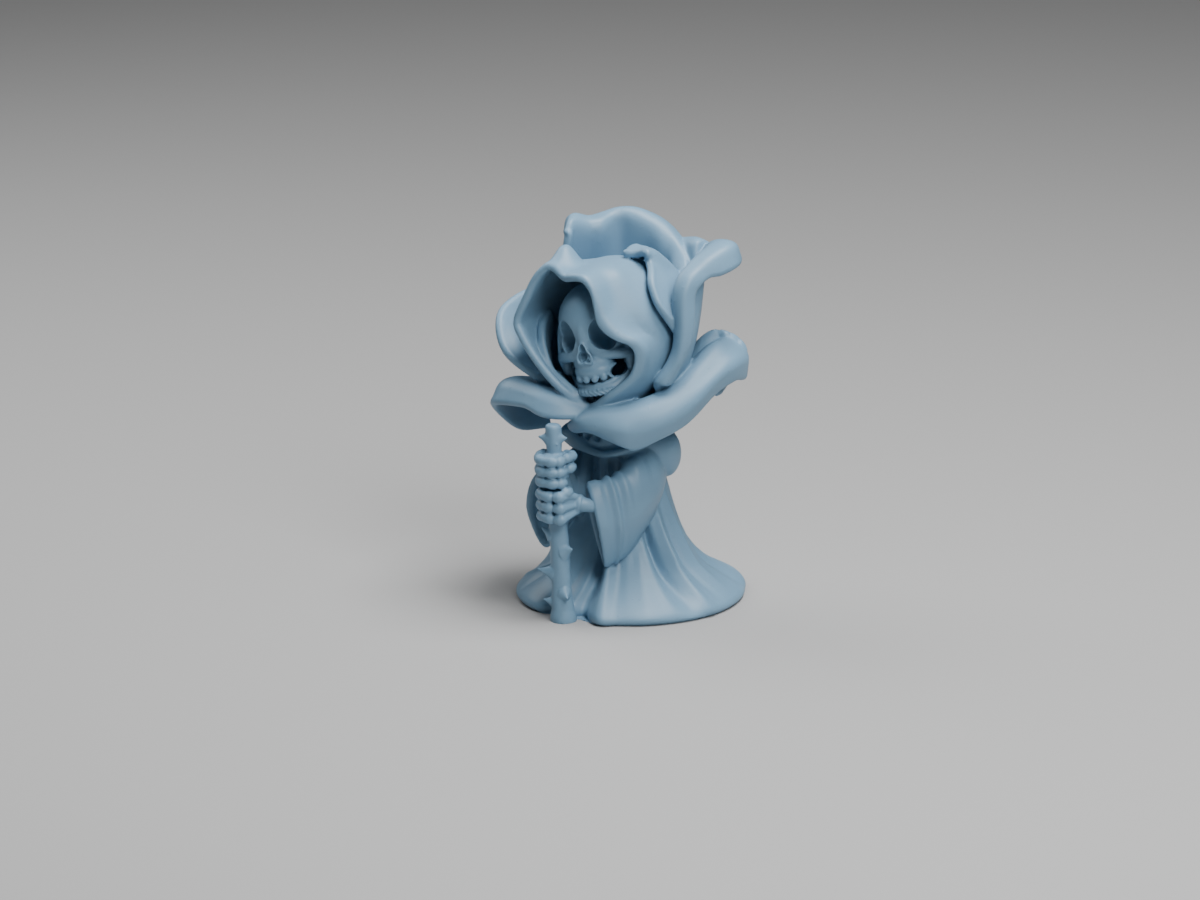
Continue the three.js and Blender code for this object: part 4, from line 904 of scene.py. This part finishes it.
stem = {
    "foot": np.array([-2.3, -25.2, 0]),
    "top": np.array([-4.7, -26.2, 50.2]),
    # height and radius
    "radii": np.array([
        (-1.5, 3.2), (0, 3.3), (1.2, 3.2), (3, 2.9), (6, 2.6), (9, 2.45), (14, 2.4), (20, 2.35), (27, 2.25),
        (35, 2.1), (43, 1.85), (46, 2.0), (49.3, 2.0), (49.9, 1.8), (50.2, 1.3)]),
    # height, bearing, reach past the stem, half width, half height, lift of the tip in degrees
    "thorns": [
        (46.6, -60, 1.9, 1.5, 2.1, 4), (46.6, 104, 1.6, 1.4, 2.0, 2), (45.4, 50, 0.5, 0.7, 0.8, 0),
        (22.2, -62, 2.5, 1.6, 2.1, 28), (18.2, 76, 2.4, 2.0, 2.6, 14), (12.4, -58, 3.7, 1.7, 2.3, 10),
        (7.0, 50, 2.0, 1.8, 2.3, -14), (4.9, -60, 2.2, 1.4, 1.8, 8)],
    # a thorn's outline: how far along it and how wide there
    "thornOutline": [
        (-0.5, 0.9), (0, 1), (0.2, 0.72), (0.42, 0.46), (0.64, 0.28), (0.84, 0.16), (0.96, 0.09)],
    "thornSides": 20,
    "thornBend": 0.12,
    "thornRoot": 0.5,  # how deep a thorn's foot is set into the stem
    "sides": 48,
    "ringHeights": [*np.linspace(-1.5, 49.2, 140), 49.5, 49.8, 50.0, 50.2],
    # uneven skin: share of the radius, waves round the stem, their turn in degrees for each mm
    "waves": (0.02, 3, 23),
    "swells": (0.015, 1.3),  # share of the radius, and radians for each mm of height
}


def stemPoint(height):
    return mixed(stem["foot"], stem["top"], height / stem["top"][2])


def makeThorn():  # points along -Y from a broad foot to a tip that bends up
    angle = np.linspace(0, 2 * math.pi, stem["thornSides"], endpoint=False)
    rings = []
    for reach, radius in stem["thornOutline"]:
        up = radius * np.sin(angle) + stem["thornBend"] * reach ** 2
        rings.append(np.stack([radius * np.cos(angle), np.full_like(angle, -reach), up], -1))
    return loft(rings)


def makeStem():
    ups, radii = stem["radii"].T
    bearing = np.linspace(0, 360, stem["sides"], endpoint=False)
    waveShare, waves, waveTurn = stem["waves"]
    swellShare, swellTurn = stem["swells"]
    rings = []
    for height in stem["ringHeights"]:
        x, y, _ = stemPoint(height)
        uneven = 1 + waveShare * np.sin(np.radians(bearing * waves + height * waveTurn))
        uneven = uneven + swellShare * math.sin(height * swellTurn)
        rings.append(around(bearing, np.interp(height, ups, radii) * uneven, height, x, y))
    places = []
    root = stem["thornRoot"]
    for up, at, reach, wide, high, lift in stem["thorns"]:
        x, y, _ = stemPoint(up)
        foot = around(at, np.interp(up, ups, radii) - root, up, x, y)
        places.append((foot, (math.radians(-lift), 0, math.radians(at)), (wide, reach + root, high)))
    return [loft(rings), repeated("thorns", makeThorn(), places)]


# Each hand: the heights of its fingers, the knuckles' bearing and distance from the stem's middle,
# the wrist, how far the bones spread there, the joints' bearings and distances, and the swellings
# of each finger bone as place along it, half width and extra radius.
hands = {
    "upper": {
        "heights": [41.5, 38.7, 35.9],
        "knuckle": (-112, 4.6),
        "wrist": np.array([-9.6, -20.5, 36.4]),
        "spread": 0.2,
        "bearings": [-116, -84, -52, -16, 20, 44, 64],
        "outs": [4.6, 4.1, 3.95, 3.8, 3.75, 3.75, 3.3],
        "swellings": [
            (0.12, 0.06, 0.2), (0.3, 0.03, -0.12), (0.4, 0.05, 0.15), (0.55, 0.03, -0.15),
            (0.66, 0.05, 0.15), (0.78, 0.03, -0.2), (0.9, 0.06, 0.15)],
        "arm": [[-10.5, -16, 32], [-10, -10, 28]]},
    "lower": {
        "heights": [32.7, 29.9, 27.1],
        "knuckle": (42, 4.8),
        "wrist": np.array([1.2, -23.2, 30]),
        "spread": 0.55,
        "bearings": [42, 20, -14, -52, -84, -112],
        "outs": [4.8, 4.2, 4.1, 4.0, 3.8, 2.9],
        "swellings": [
            (0.03, 0.07, 0.3), (0.19, 0.03, -0.4), (0.3, 0.05, 0.15), (0.44, 0.03, -0.15),
            (0.57, 0.05, 0.15), (0.7, 0.03, -0.15), (0.84, 0.06, 0.15)],
        "arm": [[3.4, -21.4, 29.4], [8, -12, 27]]},
}
# the thumbs, and a short bone below the upper one: height, bearings, distances from the stem's
# middle, radii, swellings
thumbs = [
    (42.2, [150, 118, 96, 80], [3.4, 4.2, 4.1, 3.9], [1.1, 1.15, 1.1, 1.05],
     [(0.35, 0.15, 0.3), (0.95, 0.15, 0.25)]),
    (39.4, [150, 118, 92], [3.4, 4.2, 4.0], [1.1, 1.15, 1.05], [(0.9, 0.2, 0.25)]),
    (33.6, [96, 76, 58], [3.4, 4.2, 4.5], [1.1, 1.2, 1.1], [(0.8, 0.2, 0.2)])]
fingerShaft = 1.26
fingerTip = 0.95  # share of the shaft at the last joint
# radii and swelling of the long bones between knuckles and wrist, and of the forearm
longBone = ([1.3, 1.0, 0.8], [(0, 0.2, 0.15)])
forearm = ([2.1, 1.7, 1.8], [(0, 0.1, 0.25)])
palm = {"radius": 3.6, "inset": 2.2, "wider": 1.08, "halfHeight": 1.7}  # the closed hand behind the fingers
# the two bars behind the long bones of the lower hand: lifts, radii, how far back each end lies, and
# the share of the lift that is left at the wrist
palmSide = {"lifts": (-1.4, 1.4), "radii": [0.8, 0.7], "back": (0.9, 0.7), "gather": 0.5}


def bonePath(height, bearings, outs):
    x, y, _ = stemPoint(height)
    return [around(bearing, out, height, x, y) for bearing, out in zip(bearings, outs)]


def makeHand(heights, knuckle, wrist, spread, bearings, outs, swellings, arm):
    bones = []
    for height in heights:
        path = bonePath(height, bearings, outs)
        radii = [fingerShaft] * (len(path) - 1) + [fingerTip * fingerShaft]
        bones.append(limb(path, radii, 24, 90, swellings))
        x, y, _ = stemPoint(height)
        start = around(*knuckle, height, x, y)
        end = wrist + [0, 0, spread * (height - heights[1])]
        # the long bones bow forwards, and the top one upwards too
        middle = mixed(start, end, 0.5) + [0, -0.25, 0.5 * (height > heights[1])]
        bones.append(limb([start, middle, end], longBone[0], 20, 30, longBone[1]))
    core = [stemPoint(heights[0] - palm["inset"]), stemPoint(heights[-1] + palm["inset"])]
    bones.append(limb(core, [palm["radius"]] * 2, 32))
    wide = palm["wider"] * palm["radius"]
    bones.append(blob(stemPoint(heights[0]), [wide, wide, palm["halfHeight"]]))
    bones.append(limb([wrist, *arm], forearm[0], 28, 40, forearm[1]))
    return bones


def makeHands():
    bones = [bone for hand in hands.values() for bone in makeHand(**hand)]
    lower = hands["lower"]
    height = lower["heights"][1]
    x, y, _ = stemPoint(height)
    nearBack, farBack = palmSide["back"]
    for lift in palmSide["lifts"]:
        start = around(*lower["knuckle"], height + lift, x, y) + [0, nearBack, 0]
        end = lower["wrist"] + [0, farBack, lift * palmSide["gather"]]
        bones.append(limb([start, end], palmSide["radii"]))
    for height, bearings, outs, radii, swellings in thumbs:
        bones.append(limb(bonePath(height, bearings, outs), radii, 20, 30, swellings))
    return bones


# voxel size, smoothing passes and triangles kept of each skin
skins = {"cloth": (0.3, 3, 104000), "skull": (0.17, 3, 48000), "hands": (0.2, 1, 40000)}
bedHalf = 80  # a slab cut away below the floor leaves a flat underside
bedDepth = 40

clothForms = [makeRobe(), makeHood(), makeCowl(), *makeNeck()]
clothForms += [makeSleeve(**side) for side in sleeves.values()]
clothForms += [makePetal(*petal) for petal in petals.values()]
print("forms of cloth and petals made", len(clothForms))
figure = fused("printedReaper", clothForms, *skins["cloth"])
joined(figure, plainObject("breastPits", breastPits), "DIFFERENCE")
joined(figure, fused("skullSkin", makeSkullBones(), *skins["skull"], makeSkullHollows()), "UNION")
joined(figure, fused("handSkin", makeStem() + makeHands(), *skins["hands"]), "UNION")
bed = loft([[[x * bedHalf, y * bedHalf, z] for x, y in squareCorners] for z in (-bedDepth, 0)])
joined(figure, plainObject("bed", [bed]), "DIFFERENCE")
print("one print", triangleCount(figure), "triangles")
figure.data.transform(Matrix.Scale(millimetre, 4))

figure.data.materials.clear()
figure.data.materials.append(plasticFinish)
figure.data.polygons.foreach_set("material_index", [0] * len(figure.data.polygons))
figure.data.polygons.foreach_set("use_smooth", [True] * len(figure.data.polygons))
figure.data.update()
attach(figure, "root")
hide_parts("reaper_figurine")
print("figure placed and finished")


studio = {
    "aim": (-0.0104, 0.0048, 0.0357),
    "azimuth": 32,
    "elevation": 15,
    "distance": 2.0,
    "lens": 240,
    "floorColour": (0.36, 0.36, 0.36, 1),
    "floorRoughness": 0.7,
    "floorHalf": 4,
    "worldColour": (0.95, 0.97, 1, 1),
    "worldStrength": 0.035,
    "lightAim": (0, 0, 0.04),
    # name, place, size, power
    "lights": [("overhead", (0.15, 0.05, 0.70), 0.34, 7.5), ("rightHigh", (0.46, -0.30, 0.52), 0.3, 4.0),
               ("leftSoft", (-0.45, 0.05, 0.45), 0.4, 1.6)],
}


def makeStudio():
    scene = bpy.context.scene
    a = math.radians(studio["azimuth"])
    e = math.radians(studio["elevation"])
    back = Vector((math.sin(a) * math.cos(e), -math.cos(a) * math.cos(e), math.sin(e)))
    camera = linked("camera", bpy.data.cameras.new("camera"))
    camera.data.lens = studio["lens"]
    camera.data.clip_start = 0.01
    camera.location = Vector(studio["aim"]) + back * studio["distance"]
    camera.rotation_euler = (-back).to_track_quat("-Z", "Y").to_euler()
    scene.camera = camera
    mesh = bpy.data.meshes.new("floor")
    corners = [(x * studio["floorHalf"], y * studio["floorHalf"], 0) for x, y in squareCorners]
    mesh.from_pydata(corners, [], [(0, 1, 2, 3)])
    floor = linked("floor", mesh)
    floorFinish = Nodes("paleFloor")
    floorFinish.shader.inputs["Base Color"].default_value = studio["floorColour"]
    floorFinish.shader.inputs["Roughness"].default_value = studio["floorRoughness"]
    mesh.materials.append(floorFinish.material)
    world = bpy.data.worlds.new("softRoom")
    scene.world = world
    world.use_nodes = True
    background = world.node_tree.nodes["Background"]
    background.inputs["Color"].default_value = studio["worldColour"]
    background.inputs["Strength"].default_value = studio["worldStrength"]
    for name, place, size, power in studio["lights"]:
        light = linked(name, bpy.data.lights.new(name, "AREA"))
        light.data.size = size
        light.data.energy = power
        light.location = place
        towards = Vector(studio["lightAim"]) - Vector(place)
        light.rotation_euler = towards.to_track_quat("-Z", "Y").to_euler()


makeStudio()
print("studio ready")
